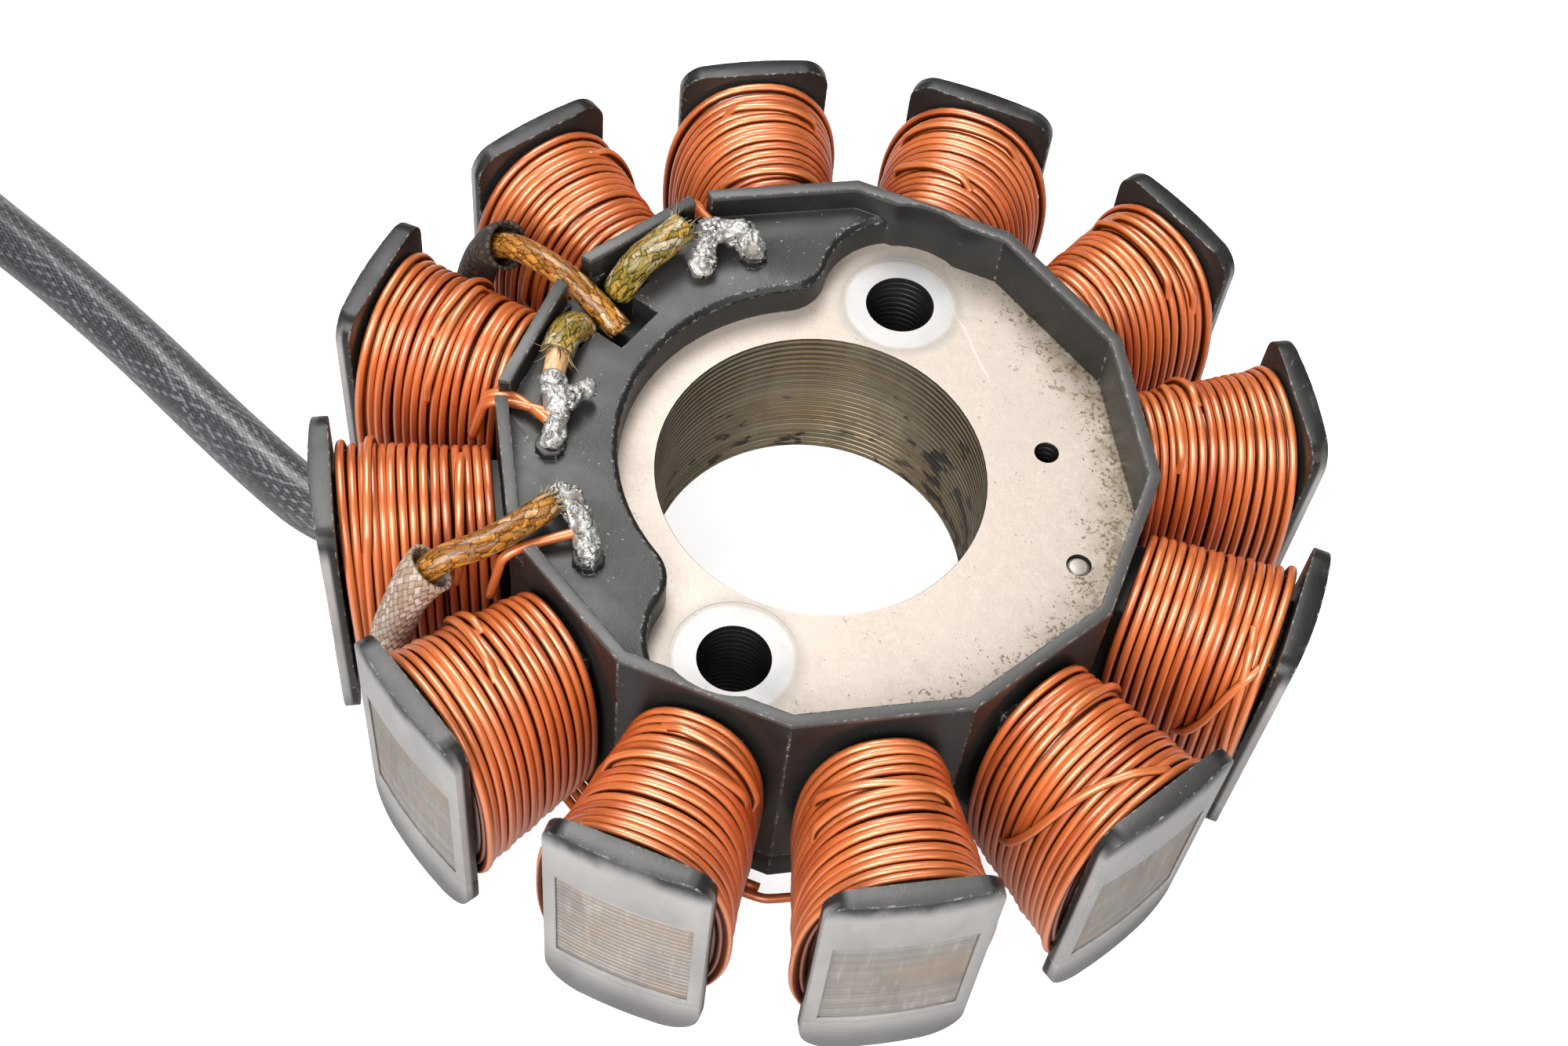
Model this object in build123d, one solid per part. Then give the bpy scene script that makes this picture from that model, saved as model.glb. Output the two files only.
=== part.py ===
from build123d import *
from build123d.topology import SkipClean
import os
from math import cos, radians, sin, tan

# Wound stator of a small engine's generator, in millimetres, +Z along the rotor axis.
# The origin lies under the bore, on the surface that the lower ends of the pole heads stand on.
# A tooth points along +X, and the two mounting holes lie on the Y axis.

# Laminated core
tooth_count = 12
sheet_thickness = 0.8
sheet_count = 23
bore_radius = 16.0
yoke_apothem = 29.9
stem_width = 6.0
shoe_thickness = 1.3
seat_margin = 1.3
bolt_circle_radius = 22.5
bolt_hole_radius = 3.4
flange_mark_radius = 6.0
flange_mark_depth = 0.05
oil_hole_reach = 22.3
oil_hole_radius = 1.15
stack_pin_reach = 26.1
stack_pin_radius = 1.15
stack_pin_chamfer = 0.3
stack_pin_sink = 0.2

# Moulded insulator, an upper part with the deck and a lower cap
head_drop = 7.4
head_rise = 6.4
head_outer_radius = 48.0
head_half_width = 7.8
head_skin = 0.3
head_side_wall = 0.9
head_back_wall = 0.5
head_top_corner = 2.5
head_bottom_corner = 3.8
joint_gap_height = 1.0
window_top_margin = 2.5
window_side_margin = 0.4
sheath_thickness = 0.9
wall_over_yoke = 0.6
wall_thickness = 1.2
wall_rise = 6.7
lower_wall_drop = 4.4

# Deck that carries the solder joints, on the side away from the oil hole
deck_height = 3.8
deck_inner_radius = 19.6
deck_boss_radius = 8.0
deck_curve_radius = 4.5
deck_edge_bevel = 0.5
scallop_radius = 7.6
pocket_inner_reach = 22.3
pocket_floor_height = 0.8
pocket_half_width = 2.8
pocket_mouth_reach = 25.4
pocket_mouth_half_width = 5.5

# Slots and gaps through the wall, at slot directions counted from +X
lead_gap_angle = 165.0
tail_slot_angle = 195.0
upper_tail_slot_angle = 135.0
return_gap_angle = 225.0
lead_gap_width = 3.6
tail_slot_width = 1.7
return_gap_width = 3.9
tail_slot_floor = 2.6
lower_gap_width = 7.0

# Coils
coil_turns = 15
coil_wall_clearance = 0.8
coil_head_clearance = 0.4
coil_inner_half_width = 7.0
coil_side_gap = 2.99
coil_inner_half_height = 14.1
coil_outer_half_height = 14.7
coil_groove_depth = 0.32
coil_top_corner = (4.0, 0.0)
coil_side_corner = (0.0, 7.6)
coil_hole_clearance = 0.05
last_turn_proud = 0.3
wire_radius = 0.475
wire_sides = 6
crossover_spans = 8
wire_clearance = 0.05

# Solder joints on tinned pins
pin_width = 1.0
pin_sink = 2.4
pin_tip_height = 1.3
peg_radius = 1.5
peg_sides = 8
peg_height = 0.9
lump_tip_share = 0.55
lump_tip_length = 0.7
lump_sides = 6

# Leads and their sleeves
lead_radius = 1.3
lead_sides = 6
braid_sides = 8
lead_low_level = 3.85
sleeve_clearance = 0.15
sleeve_wall = 0.65
riser_head_distance = 1.8
bend_set_back = 2.3
mouth_set_back = 5.3
braid_radius = 1.7
inner_lead_radius = 1.15
tail_dip = 0.15
tail_inward = 1.6
tail_lane = 0.6

# Output cable, its coil and the connector at its far end
cable_radius = 3.2
cable_floor_clearance = 0.05
cable_inner_end_reach = 38.6
coil_turn_radius = 36.0
coil_layers = 2
coil_layer_gap = 0.1
connector_length = 26.0
connector_width = 17.0
connector_height = 9.5
connector_corner = 1.2
cavity_count = 3
cavity_size = 3.4
cavity_depth = 9.0
cavity_pitch = 5.0
latch_length = 12.0
latch_width = 5.0
latch_height = 1.6
boot_length = 7.5
boot_wall = 1.5
boot_tip_wall = 0.9
boot_sides = 12

# Levels and directions that follow from the sizes above
shoe_outer_radius = head_outer_radius - head_skin
shoe_inner_reach = shoe_outer_radius - shoe_thickness
shoe_half_width = head_half_width - head_side_wall
head_inner_reach = shoe_inner_reach - head_back_wall
seat_radius = yoke_apothem - seat_margin
wall_outer_apothem = yoke_apothem + wall_over_yoke
coil_inner_reach = wall_outer_apothem + coil_wall_clearance
coil_outer_reach = head_inner_reach - coil_head_clearance
riser_reach = head_inner_reach - riser_head_distance
bend_reach = riser_reach - bend_set_back
mouth_reach = riser_reach - mouth_set_back
stack_height = sheet_thickness * sheet_count
core_bottom = head_drop
plate_top = core_bottom + stack_height
joint_level = core_bottom - joint_gap_height
wall_top = plate_top + wall_rise
head_top = plate_top + head_rise
deck_top = plate_top + deck_height
core_middle = core_bottom + stack_height / 2
tooth_pitch = 360.0 / tooth_count
half_pitch = tooth_pitch / 2
coil_outer_half_width = coil_outer_reach * tan(radians(half_pitch)) - coil_side_gap
tooth_angles = [tooth_pitch * number for number in range(tooth_count)]
over = 1.0


def around(angle, shape):
    """The shape turned about the rotor axis."""
    return Rot(0, 0, angle) * shape


def ring_polygon(apothem):
    """The regular polygon with one side square to each tooth."""
    return RegularPolygon(apothem, tooth_count, major_radius=False, rotation=half_pitch)


def radial_bar(inner, outer, half_width, shift=0.0):
    """A rectangle along +X from one reach to another."""
    return Pos((inner + outer) / 2, shift) * Rectangle(outer - inner, 2 * half_width)


def slab(plan, bottom, top):
    """A plan extruded between two levels."""
    return Pos(0, 0, bottom) * extrude(plan, amount=top - bottom)


def polar(reach, angle, level, side=0.0):
    """A point at a reach along a direction, moved sideways by a distance."""
    across = radians(angle + 90.0)
    along = radians(angle)
    return Vector(
        reach * cos(along) + side * cos(across),
        reach * sin(along) + side * sin(across),
        level,
    )


# Laminated core
def pole_shoe_plan():
    """The curved end of the +X tooth, seen from above."""
    return Circle(shoe_outer_radius) & radial_bar(shoe_inner_reach, head_outer_radius, shoe_half_width)


def core_plan():
    """The outline of one sheet: the yoke with its teeth, without any hole."""
    plan = ring_polygon(yoke_apothem)
    stem = radial_bar(yoke_apothem - over, shoe_inner_reach + over / 2, stem_width / 2)
    for angle in tooth_angles:
        plan += around(angle, stem + pole_shoe_plan())
    return plan


def make_core():
    """The stack, with its seat as a face of its own and a pressed ring round each bolt hole."""
    plan = core_plan() - Circle(bore_radius) - Pos(stack_pin_reach, 0) * Circle(stack_pin_radius)
    for side in (1, -1):
        plan -= Pos(0, side * bolt_circle_radius) * Circle(bolt_hole_radius)
    plan -= around(tooth_pitch, Pos(oil_hole_reach, 0) * Circle(oil_hole_radius))
    seat = Circle(seat_radius)
    with SkipClean():
        core = slab(plan - seat, core_bottom, plate_top) + slab(plan & seat, core_bottom, plate_top)
        for mark in bolt_post(flange_mark_radius, plate_top - flange_mark_depth, plate_top + over):
            core -= mark
    return core


def make_stack_pin():
    """The pin that holds the sheets, sunk a little below both faces of the stack."""
    length = stack_height - 2 * stack_pin_sink
    pin = Cylinder(stack_pin_radius, length)
    pin = chamfer(pin.edges().group_by(Axis.Z)[-1], stack_pin_chamfer)
    return Pos(stack_pin_reach, 0, core_middle) * pin


# Moulded insulator
def head_solid():
    """One pole head, full height, with rounded corners in front view."""
    height = head_top
    front = Plane.YZ * Pos(0, height / 2) * Rectangle(2 * head_half_width, height)
    prism = Pos(head_inner_reach, 0, 0) * extrude(front, amount=head_outer_radius - head_inner_reach)
    along = prism.edges().filter_by(Axis.X)
    prism = fillet(along.filter_by(lambda edge: edge.center().Z > core_middle), head_top_corner)
    along = prism.edges().filter_by(Axis.X)
    corners = along.filter_by(lambda edge: edge.center().Z < head_bottom_corner / 2)
    prism = fillet(corners, head_bottom_corner)
    return prism & slab(Circle(head_outer_radius), 0, head_top)


def window_solid():
    """The opening in a head's front skin, where the steel shows."""
    half_width = shoe_half_width - window_side_margin
    opening = radial_bar(shoe_outer_radius - over, head_outer_radius + over, half_width)
    return slab(opening, core_bottom, plate_top - window_top_margin)


def tongue_solid():
    """The lower cap's layer right under the steel, between the upper part's skins."""
    plan = core_plan() - Circle(seat_radius)
    return slab(plan, joint_level, core_bottom)


def ring_wall(bottom, top):
    """The many-sided wall round the core, between two levels."""
    return slab(ring_polygon(wall_outer_apothem), bottom, top) - slab(
        ring_polygon(wall_outer_apothem - wall_thickness), bottom - over, top + over
    )


def wall_cut(angle, width, bottom, top):
    """A cutter through the ring wall at a slot direction."""
    outer = wall_outer_apothem + 2 * wall_thickness
    inner = wall_outer_apothem - 2 * wall_thickness
    return around(angle, slab(radial_bar(inner, outer, width / 2), bottom, top))


def bolt_post(radius, bottom, top):
    """A pair of round cutters about the mounting holes."""
    post = slab(Circle(radius), bottom, top)
    return [Pos(0, side * bolt_circle_radius, 0) * post for side in (1, -1)]


def deck_solid():
    """The raised floor, with a pocket where the lead comes in and a peg at each solder joint."""
    plan = ring_polygon(wall_outer_apothem - wall_thickness / 2) - Circle(deck_inner_radius)
    plan -= Pos(wall_outer_apothem, 0) * Rectangle(2 * wall_outer_apothem, 4 * wall_outer_apothem)
    for side in (1, -1):
        plan -= Pos(0, side * bolt_circle_radius) * Circle(deck_boss_radius)
    cusps = plan.vertices().filter_by(lambda spot: spot.X < -over)
    cusps = cusps.filter_by(lambda spot: abs(spot.center().length - deck_inner_radius) < over / 10)
    plan = fillet(cusps, deck_curve_radius)
    deck = slab(plan, plate_top, deck_top)
    rim = deck.edges().filter_by(GeomType.CIRCLE).group_by(Axis.Z)[-1]
    deck = chamfer(rim, deck_edge_bevel)
    wall_inner_apothem = wall_outer_apothem - wall_thickness
    pocket = radial_bar(pocket_inner_reach, wall_inner_apothem, pocket_half_width)
    pocket += radial_bar(pocket_mouth_reach, wall_inner_apothem, pocket_mouth_half_width)
    deck -= around(lead_gap_angle, slab(pocket, plate_top + pocket_floor_height, deck_top + over))
    for place in joint_places:
        peg = slab(RegularPolygon(peg_radius, peg_sides), deck_top - over, deck_top + peg_height)
        hole = slab(Rectangle(pin_width, pin_width), deck_top - pin_sink, deck_top + over)
        deck = deck + Pos(place.X, place.Y, 0) * peg - Pos(place.X, place.Y, 0) * hole
    return deck


def make_upper_insulator():
    """The upper moulding: wall, sheaths, heads and deck, less the core, windows, gaps and slots."""
    shell = ring_wall(joint_level, wall_top)
    sheath = radial_bar(
        wall_outer_apothem - wall_thickness / 2,
        head_inner_reach + over / 2,
        stem_width / 2 + sheath_thickness,
    )
    sheath = slab(sheath, joint_level, plate_top + sheath_thickness)
    head = head_solid() & slab(Circle(head_outer_radius + over), joint_level, head_top + over)
    for angle in tooth_angles:
        shell += around(angle, sheath + head)
    shell += deck_solid()
    shell -= slab(core_plan(), core_bottom, plate_top)
    shell -= tongue_solid()
    for angle in tooth_angles:
        shell -= around(angle, window_solid())
    for post in bolt_post(scallop_radius, plate_top, wall_top + over):
        shell -= post
    gap_floor = plate_top + pocket_floor_height
    shell -= wall_cut(lead_gap_angle, lead_gap_width, gap_floor, wall_top + over)
    shell -= wall_cut(return_gap_angle, return_gap_width, deck_top, wall_top + over)
    slot_floor = plate_top + tail_slot_floor
    for angle in (tail_slot_angle, upper_tail_slot_angle):
        outer = wall_outer_apothem + 2 * wall_thickness
        slot = radial_bar(wall_outer_apothem - 2 * wall_thickness, outer, tail_slot_width / 2)
        shell -= around(angle, slab(slot, deck_top, wall_top + over))
        notch = radial_bar(wall_outer_apothem - wall_thickness / 2, outer, tail_slot_width / 2)
        shell -= around(angle, slab(notch, slot_floor, deck_top + over))
    return shell


def make_lower_insulator():
    """The lower moulding: the lower wall, the layer under the core and the heads' lower ends."""
    cap = ring_wall(joint_level - lower_wall_drop, joint_level) + tongue_solid()
    head = head_solid() & slab(Circle(head_outer_radius + over), 0, joint_level)
    for angle in tooth_angles:
        cap += around(angle, head)
    for angle in (lead_gap_angle, tail_slot_angle, return_gap_angle):
        cap -= wall_cut(angle, lower_gap_width, joint_level - lower_wall_drop - over, joint_level)
    return cap


# Coils
def coil_outline(half_width, half_height):
    """An eight-sided outline whose sides keep their directions at every size."""
    quarter = [
        (half_width - inset, half_height - drop)
        for inset, drop in (coil_top_corner, coil_side_corner)
    ]
    right = quarter + [(width, -height) for width, height in reversed(quarter)]
    return right + [(-width, -height) for width, height in right]


def coil_section(reach, inset):
    """The coil's outline at a reach, drawn in by an inset."""
    share = (reach - coil_inner_reach) / (coil_outer_reach - coil_inner_reach)
    half_width = coil_inner_half_width + share * (coil_outer_half_width - coil_inner_half_width)
    half_height = coil_inner_half_height + share * (coil_outer_half_height - coil_inner_half_height)
    points = coil_outline(half_width - inset, half_height - inset)
    return Wire.make_polygon([Vector(reach, y, core_middle + z) for y, z in points])


def make_coil():
    """A coil on the +X tooth, with one ridge for each turn of its outer layer."""
    pitch = (coil_outer_reach - coil_inner_reach) / coil_turns
    sections = [coil_section(coil_inner_reach, coil_groove_depth)]
    for turn in range(coil_turns):
        crest = -last_turn_proud if turn == coil_turns - 1 else 0.0
        sections.append(coil_section(coil_inner_reach + (turn + 0.5) * pitch, crest))
        sections.append(coil_section(coil_inner_reach + (turn + 1.0) * pitch, coil_groove_depth))
    body = Solid.make_loft(sections, ruled=True)
    hole = radial_bar(
        coil_inner_reach - over,
        coil_outer_reach + over,
        stem_width / 2 + sheath_thickness + coil_hole_clearance,
    )
    bottom = joint_level - coil_hole_clearance
    top = plate_top + sheath_thickness + coil_hole_clearance
    return body - slab(hole, bottom, top)


# Wires, leads and sleeves
def corner_radii(points, share=0.45):
    """The largest even arc at each corner of a route: a share of the shorter run beside it."""
    radii = []
    for before, corner, after in zip(points, points[1:], points[2:]):
        turn = radians((corner - before).get_angle(after - corner))
        shorter = min((corner - before).length, (after - corner).length)
        radii.append(share * shorter / tan(turn / 2))
    return radii


def swept(points, section_sketch, radii=None):
    """A section swept along straight runs joined by tangent arcs."""
    if len(points) > 2:
        path = FilletPolyline(*points, radius=radii or corner_radii(points))
    else:
        path = Line(*points)
    start = Plane(origin=points[0], z_dir=(points[1] - points[0]).normalized())
    return sweep(start * section_sketch, path=path)


def rod_section(radius, sides=lead_sides):
    """A wire's or lead's section: a polygon inside its circle."""
    return RegularPolygon(radius, sides)


def around_section(radius, sides=lead_sides):
    """A sleeve's section: a polygon outside the circle that it has to clear."""
    return RegularPolygon(radius, sides, major_radius=False)


def make_crossover(start_angle, lane):
    """A wire under the coils' inner ends, pulled straight along each side of the ring."""
    level = joint_level - lower_wall_drop + wire_radius
    level = min(level, core_middle - coil_inner_half_height - wire_radius - wire_clearance)
    apothem = wall_outer_apothem + wire_radius + wire_clearance + lane * (2 * wire_radius + wire_clearance)
    corner_reach = apothem / cos(radians(half_pitch))
    angles = [start_angle + tooth_pitch * step for step in range(crossover_spans + 1)]
    corners = [polar(corner_reach, angle + half_pitch, level) for angle in angles]
    path = Polyline(*corners)
    start = Plane(origin=corners[0], z_dir=(corners[1] - corners[0]).normalized())
    return sweep(start * rod_section(wire_radius, wire_sides), path=path, transition=Transition.RIGHT)


def make_coil_tail(slot_angle, end, side):
    """A coil's end: up beside the wall, over the slot's floor and inward to its solder joint."""
    corner_reach = wall_outer_apothem / cos(radians(half_pitch))
    level = deck_top + wire_radius + wire_clearance
    points = [
        polar(corner_reach + 3 * wire_radius, slot_angle, plate_top + sheath_thickness, side),
        polar(corner_reach + 2 * wire_radius, slot_angle, level - tail_dip, side),
        polar(corner_reach - wire_radius - tail_inward, slot_angle, level + 2 * tail_dip, side),
        end + Vector(0, 0, deck_top),
    ]
    return swept(points, rod_section(wire_radius, wire_sides))


def lump_ring(center, direction, radius):
    """The outline of a lump of solder across its direction."""
    plane = Plane(origin=center, z_dir=direction)
    outline = RegularPolygon(radius, lump_sides, major_radius=False)
    return (plane * outline).faces()[0].outer_wire()


def solder_lump(start, end, radius):
    """A rounded bar of solder, blunt at both ends."""
    direction = (end - start).normalized()
    tip = direction * (radius * lump_tip_length)
    rings = [
        lump_ring(start - tip, direction, radius * lump_tip_share),
        lump_ring(start, direction, radius),
        lump_ring(end, direction, radius),
        lump_ring(end + tip, direction, radius * lump_tip_share),
    ]
    return Solid.make_loft(rings, ruled=True)


# Solder joints: the pins' places, and where the coils' ends stop, with heights above the deck
joint_places = [Vector(-14.9, 18.8), Vector(-23.6, -10.6), Vector(-15.3, -20.6)]
tail_ends = [Vector(-18.3, 19.5, 1.9), Vector(-24.5, -8.1, 1.5), Vector(-16.9, -18.7, 1.6)]

# Lumps of each joint: start and end from its pin, with heights above the deck, and the radius
joint_lumps = [
    [
        (Vector(-3.9, -3.9, 1.1), Vector(-4.7, -0.8, 1.9), 1.1),
        (Vector(-4.7, -0.6, 2.2), Vector(-1.7, 0.9, 2.2), 1.15),
        (Vector(-1.4, 0.9, 1.9), Vector(-0.1, 0.1, 1.0), 1.25),
    ],
    [
        (Vector(-2.4, 6.0, 2.1), Vector(-1.0, 3.8, 1.9), 1.2),
        (Vector(-0.8, 4.0, 1.9), Vector(0.7, 6.5, 1.7), 0.95),
        (Vector(-0.7, 3.4, 1.7), Vector(0.1, 0.3, 1.0), 1.05),
    ],
    [
        (Vector(-4.7, 4.7, 2.1), Vector(-2.6, 3.3, 1.8), 1.15),
        (Vector(-2.4, 3.3, 1.8), Vector(-0.8, 1.6, 1.4), 1.2),
        (Vector(-0.7, 1.4, 1.3), Vector(0.0, 0.0, 1.0), 1.05),
    ],
]


def make_terminal_pin(place):
    """A square pin with a pointed top, sunk into the deck."""
    length = pin_sink + pin_tip_height
    pin = Box(pin_width, pin_width, length)
    pin = chamfer(pin.edges().group_by(Axis.Z)[-1], pin_width / 4)
    return Pos(place.X, place.Y, deck_top - pin_sink + length / 2) * pin


def make_solder_joint(place, lumps, others):
    """The lumps of one joint, less the pin, wires and leads that run into them."""
    rise = place + Vector(0, 0, deck_top)
    joint = None
    for start, end, radius in lumps:
        lump = solder_lump(start + rise, end + rise, radius)
        joint = lump if joint is None else joint + lump
    for other in others:
        joint = joint - other
    return joint


cable_level = cable_radius + cable_floor_clearance


def riser_route(angle, side):
    """The lead's way from the cable's end, under the yoke and up between two pole heads."""
    low = lead_low_level
    return [
        polar(cable_inner_end_reach, tail_slot_angle, cable_level, side * 1.4),
        polar(wall_outer_apothem + 2.9, tail_slot_angle, low, side * 1.5),
        polar(wall_outer_apothem - 2.7, tail_slot_angle, low, side * 1.6),
        polar(wall_outer_apothem - 3.1, (tail_slot_angle + angle) / 2, low),
        polar(wall_outer_apothem - 2.7, angle, low, -side * 1.2),
        polar(wall_outer_apothem + 3.3, angle, low, -side * 0.2),
        polar(riser_reach - 4.1, angle, low + 0.5),
        polar(riser_reach, angle, low + 6.0),
        polar(riser_reach, angle, plate_top - 6.5),
        polar(bend_reach, angle, plate_top + 1.2),
    ]


def lead_points():
    """The lead that brings two conductors in over the deck's pocket."""
    top = [
        polar(mouth_reach, lead_gap_angle, plate_top + 4.2, 0.0),
        polar(wall_outer_apothem + 4.1, lead_gap_angle, plate_top + 5.2, 0.1),
        polar(wall_outer_apothem - 1.1, lead_gap_angle, plate_top + 4.9, 0.1),
        polar(pocket_inner_reach + 2.1, lead_gap_angle, plate_top + 2.2, 0.3),
    ]
    return riser_route(lead_gap_angle, -1.0) + top


def return_points():
    """The lead that brings one conductor in through the wall's wide gap."""
    top = [
        polar(mouth_reach, return_gap_angle, plate_top + 6.2, 0.0),
        polar(wall_outer_apothem + 2.5, return_gap_angle, plate_top + 7.2, 0.8),
        Vector(-20.4, -17.8, plate_top + 6.2),
    ]
    return riser_route(return_gap_angle, 1.0) + top


def make_glass_sleeve(points, first, last):
    """A glass-fibre sleeve over a lead's route, from the middle of one run to the middle of another."""
    start = (points[first - 1] + points[first]) / 2
    end = (points[last] + points[last + 1]) / 2
    route = [start] + points[first : last + 1] + [end]
    inner = around_section(lead_radius + sleeve_clearance)
    outer = around_section(lead_radius + sleeve_clearance + sleeve_wall)
    return swept(route, outer - inner, corner_radii(points)[first - 1 : last])


upper_braid_points = [
    polar(27.4, lead_gap_angle, plate_top + 2.7, -3.1),
    polar(26.6, lead_gap_angle, plate_top + 6.2, -4.5),
    Vector(-23.1, 13.9, plate_top + 6.7),
    Vector(-21.8, 17.0, plate_top + 6.9),
]
lower_braid_points = [
    polar(27.2, lead_gap_angle, plate_top + 2.7, 3.1),
    polar(27.3, lead_gap_angle, plate_top + 6.2, 4.7),
    Vector(-27.0, -1.6, plate_top + 5.8),
]
inner_lead_points = [
    Vector(-27.0, -1.6, plate_top + 5.8),
    Vector(-26.3, -3.9, plate_top + 5.7),
]


# Output cable
cable_points = [
    polar(cable_inner_end_reach, tail_slot_angle, cable_level),
    Vector(-47.0, -12.1, cable_level),
    Vector(-59.5, -7.8, cable_level),
    Vector(-84.0, 2.9, cable_level),
    Vector(-106.5, 10.2, cable_level),
    Vector(-124.4, 17.9, cable_level),
]
coil_heading = (cable_points[-1] - cable_points[-2]).normalized()
coil_left = Vector(-coil_heading.Y, coil_heading.X, 0)
coil_centre = cable_points[-1] + coil_left * coil_turn_radius
coil_top_level = cable_level + (coil_layers - 1) * (2 * cable_radius + coil_layer_gap)
coil_exit = Vector(cable_points[-1].X, cable_points[-1].Y, coil_top_level)
exit_points = [
    coil_exit,
    coil_exit + coil_heading * 18.0 + Vector(0, 0, -0.9),
    coil_exit + coil_heading * 42.0 + Vector(0, 0, connector_height / 2 - coil_top_level),
    coil_exit + coil_heading * 60.0 + Vector(0, 0, connector_height / 2 - coil_top_level),
]


def make_cable_coil():
    """The outer shape of the wound turns: a ring as high as its layers."""
    ring = Circle(coil_turn_radius + cable_radius) - Circle(coil_turn_radius - cable_radius)
    bottom = cable_level - cable_radius
    return Pos(coil_centre.X, coil_centre.Y, 0) * slab(ring, bottom, coil_top_level + cable_radius)


def cable_tube(points):
    """A round tube along a route."""
    return swept(points, Circle(cable_radius))


def connector_plane():
    """The connector's own frame: +X towards its mouth, on the floor under the cable's end."""
    end = exit_points[-1]
    return Plane(origin=(end.X, end.Y, 0), x_dir=coil_heading, z_dir=(0, 0, 1))


def make_connector():
    """A housing with a row of terminal cavities, a latch and a round socket for the boot."""
    middle = connector_length / 2
    body = Box(connector_length, connector_width, connector_height)
    body = fillet(body.edges().filter_by(Axis.X), connector_corner)
    for number in range(cavity_count):
        shift = (number - (cavity_count - 1) / 2) * cavity_pitch
        cavity = Box(cavity_depth, cavity_size, cavity_size)
        body -= Pos(connector_length / 2 - cavity_depth / 2, shift, 0) * cavity
    latch = Box(latch_length, latch_width, latch_height)
    latch_level = connector_height / 2 + latch_height / 2
    body += Pos(0, 0, latch_level - over / 2) * latch
    body = Pos(middle, 0, connector_height / 2) * body
    return connector_plane() * body


def make_boot():
    """The tapered rubber boot between the cable and the housing."""
    rings = [
        (0.0, cable_radius + boot_tip_wall),
        (boot_length, cable_radius + boot_wall),
    ]
    outlines = [
        (Plane.YZ.offset(reach) * RegularPolygon(radius, boot_sides)).faces()[0].outer_wire()
        for reach, radius in rings
    ]
    shape = Solid.make_loft(outlines, ruled=True)
    bore = Plane.YZ * extrude(Circle(cable_radius), amount=boot_length)
    shape = shape - bore
    return connector_plane() * Pos(-boot_length, 0, connector_height / 2) * shape


def make_parts():
    """Every node's name with its solid."""
    parts = {
        "lamination_stack": make_core(),
        "stack_pin": make_stack_pin(),
        "upper_insulator": make_upper_insulator(),
        "lower_insulator": make_lower_insulator(),
    }
    coil = make_coil()
    for number, angle in enumerate(tooth_angles, start=1):
        parts[f"coil_{number:02d}"] = around(angle, coil)
    for number in range(3):
        parts[f"crossover_wire_{number + 1}"] = make_crossover(tooth_pitch * number, number)
    lead = lead_points()
    back = return_points()
    cable = cable_tube(cable_points)
    parts["lead_tube_1"] = swept(lead, rod_section(lead_radius)) - cable
    parts["lead_tube_2"] = swept(back, rod_section(lead_radius)) - cable
    parts["glass_sleeve_1"] = make_glass_sleeve(lead, 7, 9)
    parts["glass_sleeve_2"] = make_glass_sleeve(back, 7, 9)
    parts["braid_sleeve_1"] = swept(upper_braid_points, rod_section(braid_radius, braid_sides))
    parts["braid_sleeve_2"] = swept(lower_braid_points, rod_section(braid_radius, braid_sides))
    inner_lead = swept(inner_lead_points, rod_section(inner_lead_radius))
    parts["inner_lead"] = inner_lead - parts["braid_sleeve_2"]
    tails = [
        make_coil_tail(upper_tail_slot_angle, tail_ends[0], 0.0),
        make_coil_tail(tail_slot_angle, tail_ends[1], 0.0),
        make_coil_tail(return_gap_angle, tail_ends[2], tail_lane),
    ]
    soldered = ("upper_insulator", "lead_tube_2", "braid_sleeve_1", "inner_lead")
    for number, place in enumerate(joint_places):
        pin = make_terminal_pin(place)
        others = [pin, tails[number]]
        others += [parts[name] for name in soldered]
        parts[f"coil_tail_{number + 1}"] = tails[number] - pin
        parts[f"terminal_pin_{number + 1}"] = pin
        lumps = joint_lumps[number]
        parts[f"solder_joint_{number + 1}"] = make_solder_joint(place, lumps, others)
    ring = make_cable_coil()
    parts["cable_coil"] = ring
    parts["cable"] = cable - ring
    parts["cable_end"] = cable_tube(exit_points) - ring
    parts["connector"] = make_connector()
    parts["connector_boot"] = make_boot()
    return parts


os.makedirs("parts", exist_ok=True)
for name, shape in make_parts().items():
    export_step(shape, f"parts/{name}.step")
    print(name, round(shape.volume, 1), len(shape.solids()))
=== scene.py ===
import logging
from dataclasses import dataclass
from enum import Enum
from functools import partialmethod
from math import cos, pi, radians, sin
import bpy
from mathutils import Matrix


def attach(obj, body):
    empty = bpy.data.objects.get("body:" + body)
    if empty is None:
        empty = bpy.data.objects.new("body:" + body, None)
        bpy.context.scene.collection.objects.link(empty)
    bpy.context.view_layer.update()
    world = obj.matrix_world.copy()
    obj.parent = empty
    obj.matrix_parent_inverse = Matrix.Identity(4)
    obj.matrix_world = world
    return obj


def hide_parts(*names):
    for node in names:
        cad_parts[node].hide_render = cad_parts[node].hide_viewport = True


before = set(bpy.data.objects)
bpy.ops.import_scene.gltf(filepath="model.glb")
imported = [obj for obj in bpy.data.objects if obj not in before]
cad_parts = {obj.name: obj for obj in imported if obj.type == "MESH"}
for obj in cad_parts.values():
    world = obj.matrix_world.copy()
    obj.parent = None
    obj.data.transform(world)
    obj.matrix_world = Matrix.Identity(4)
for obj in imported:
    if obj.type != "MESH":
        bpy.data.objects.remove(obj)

from types import SimpleNamespace as Named

import bmesh
import bpy
import numpy as np
from mathutils import Matrix, Vector, noise

log = logging.getLogger("stator")

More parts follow.
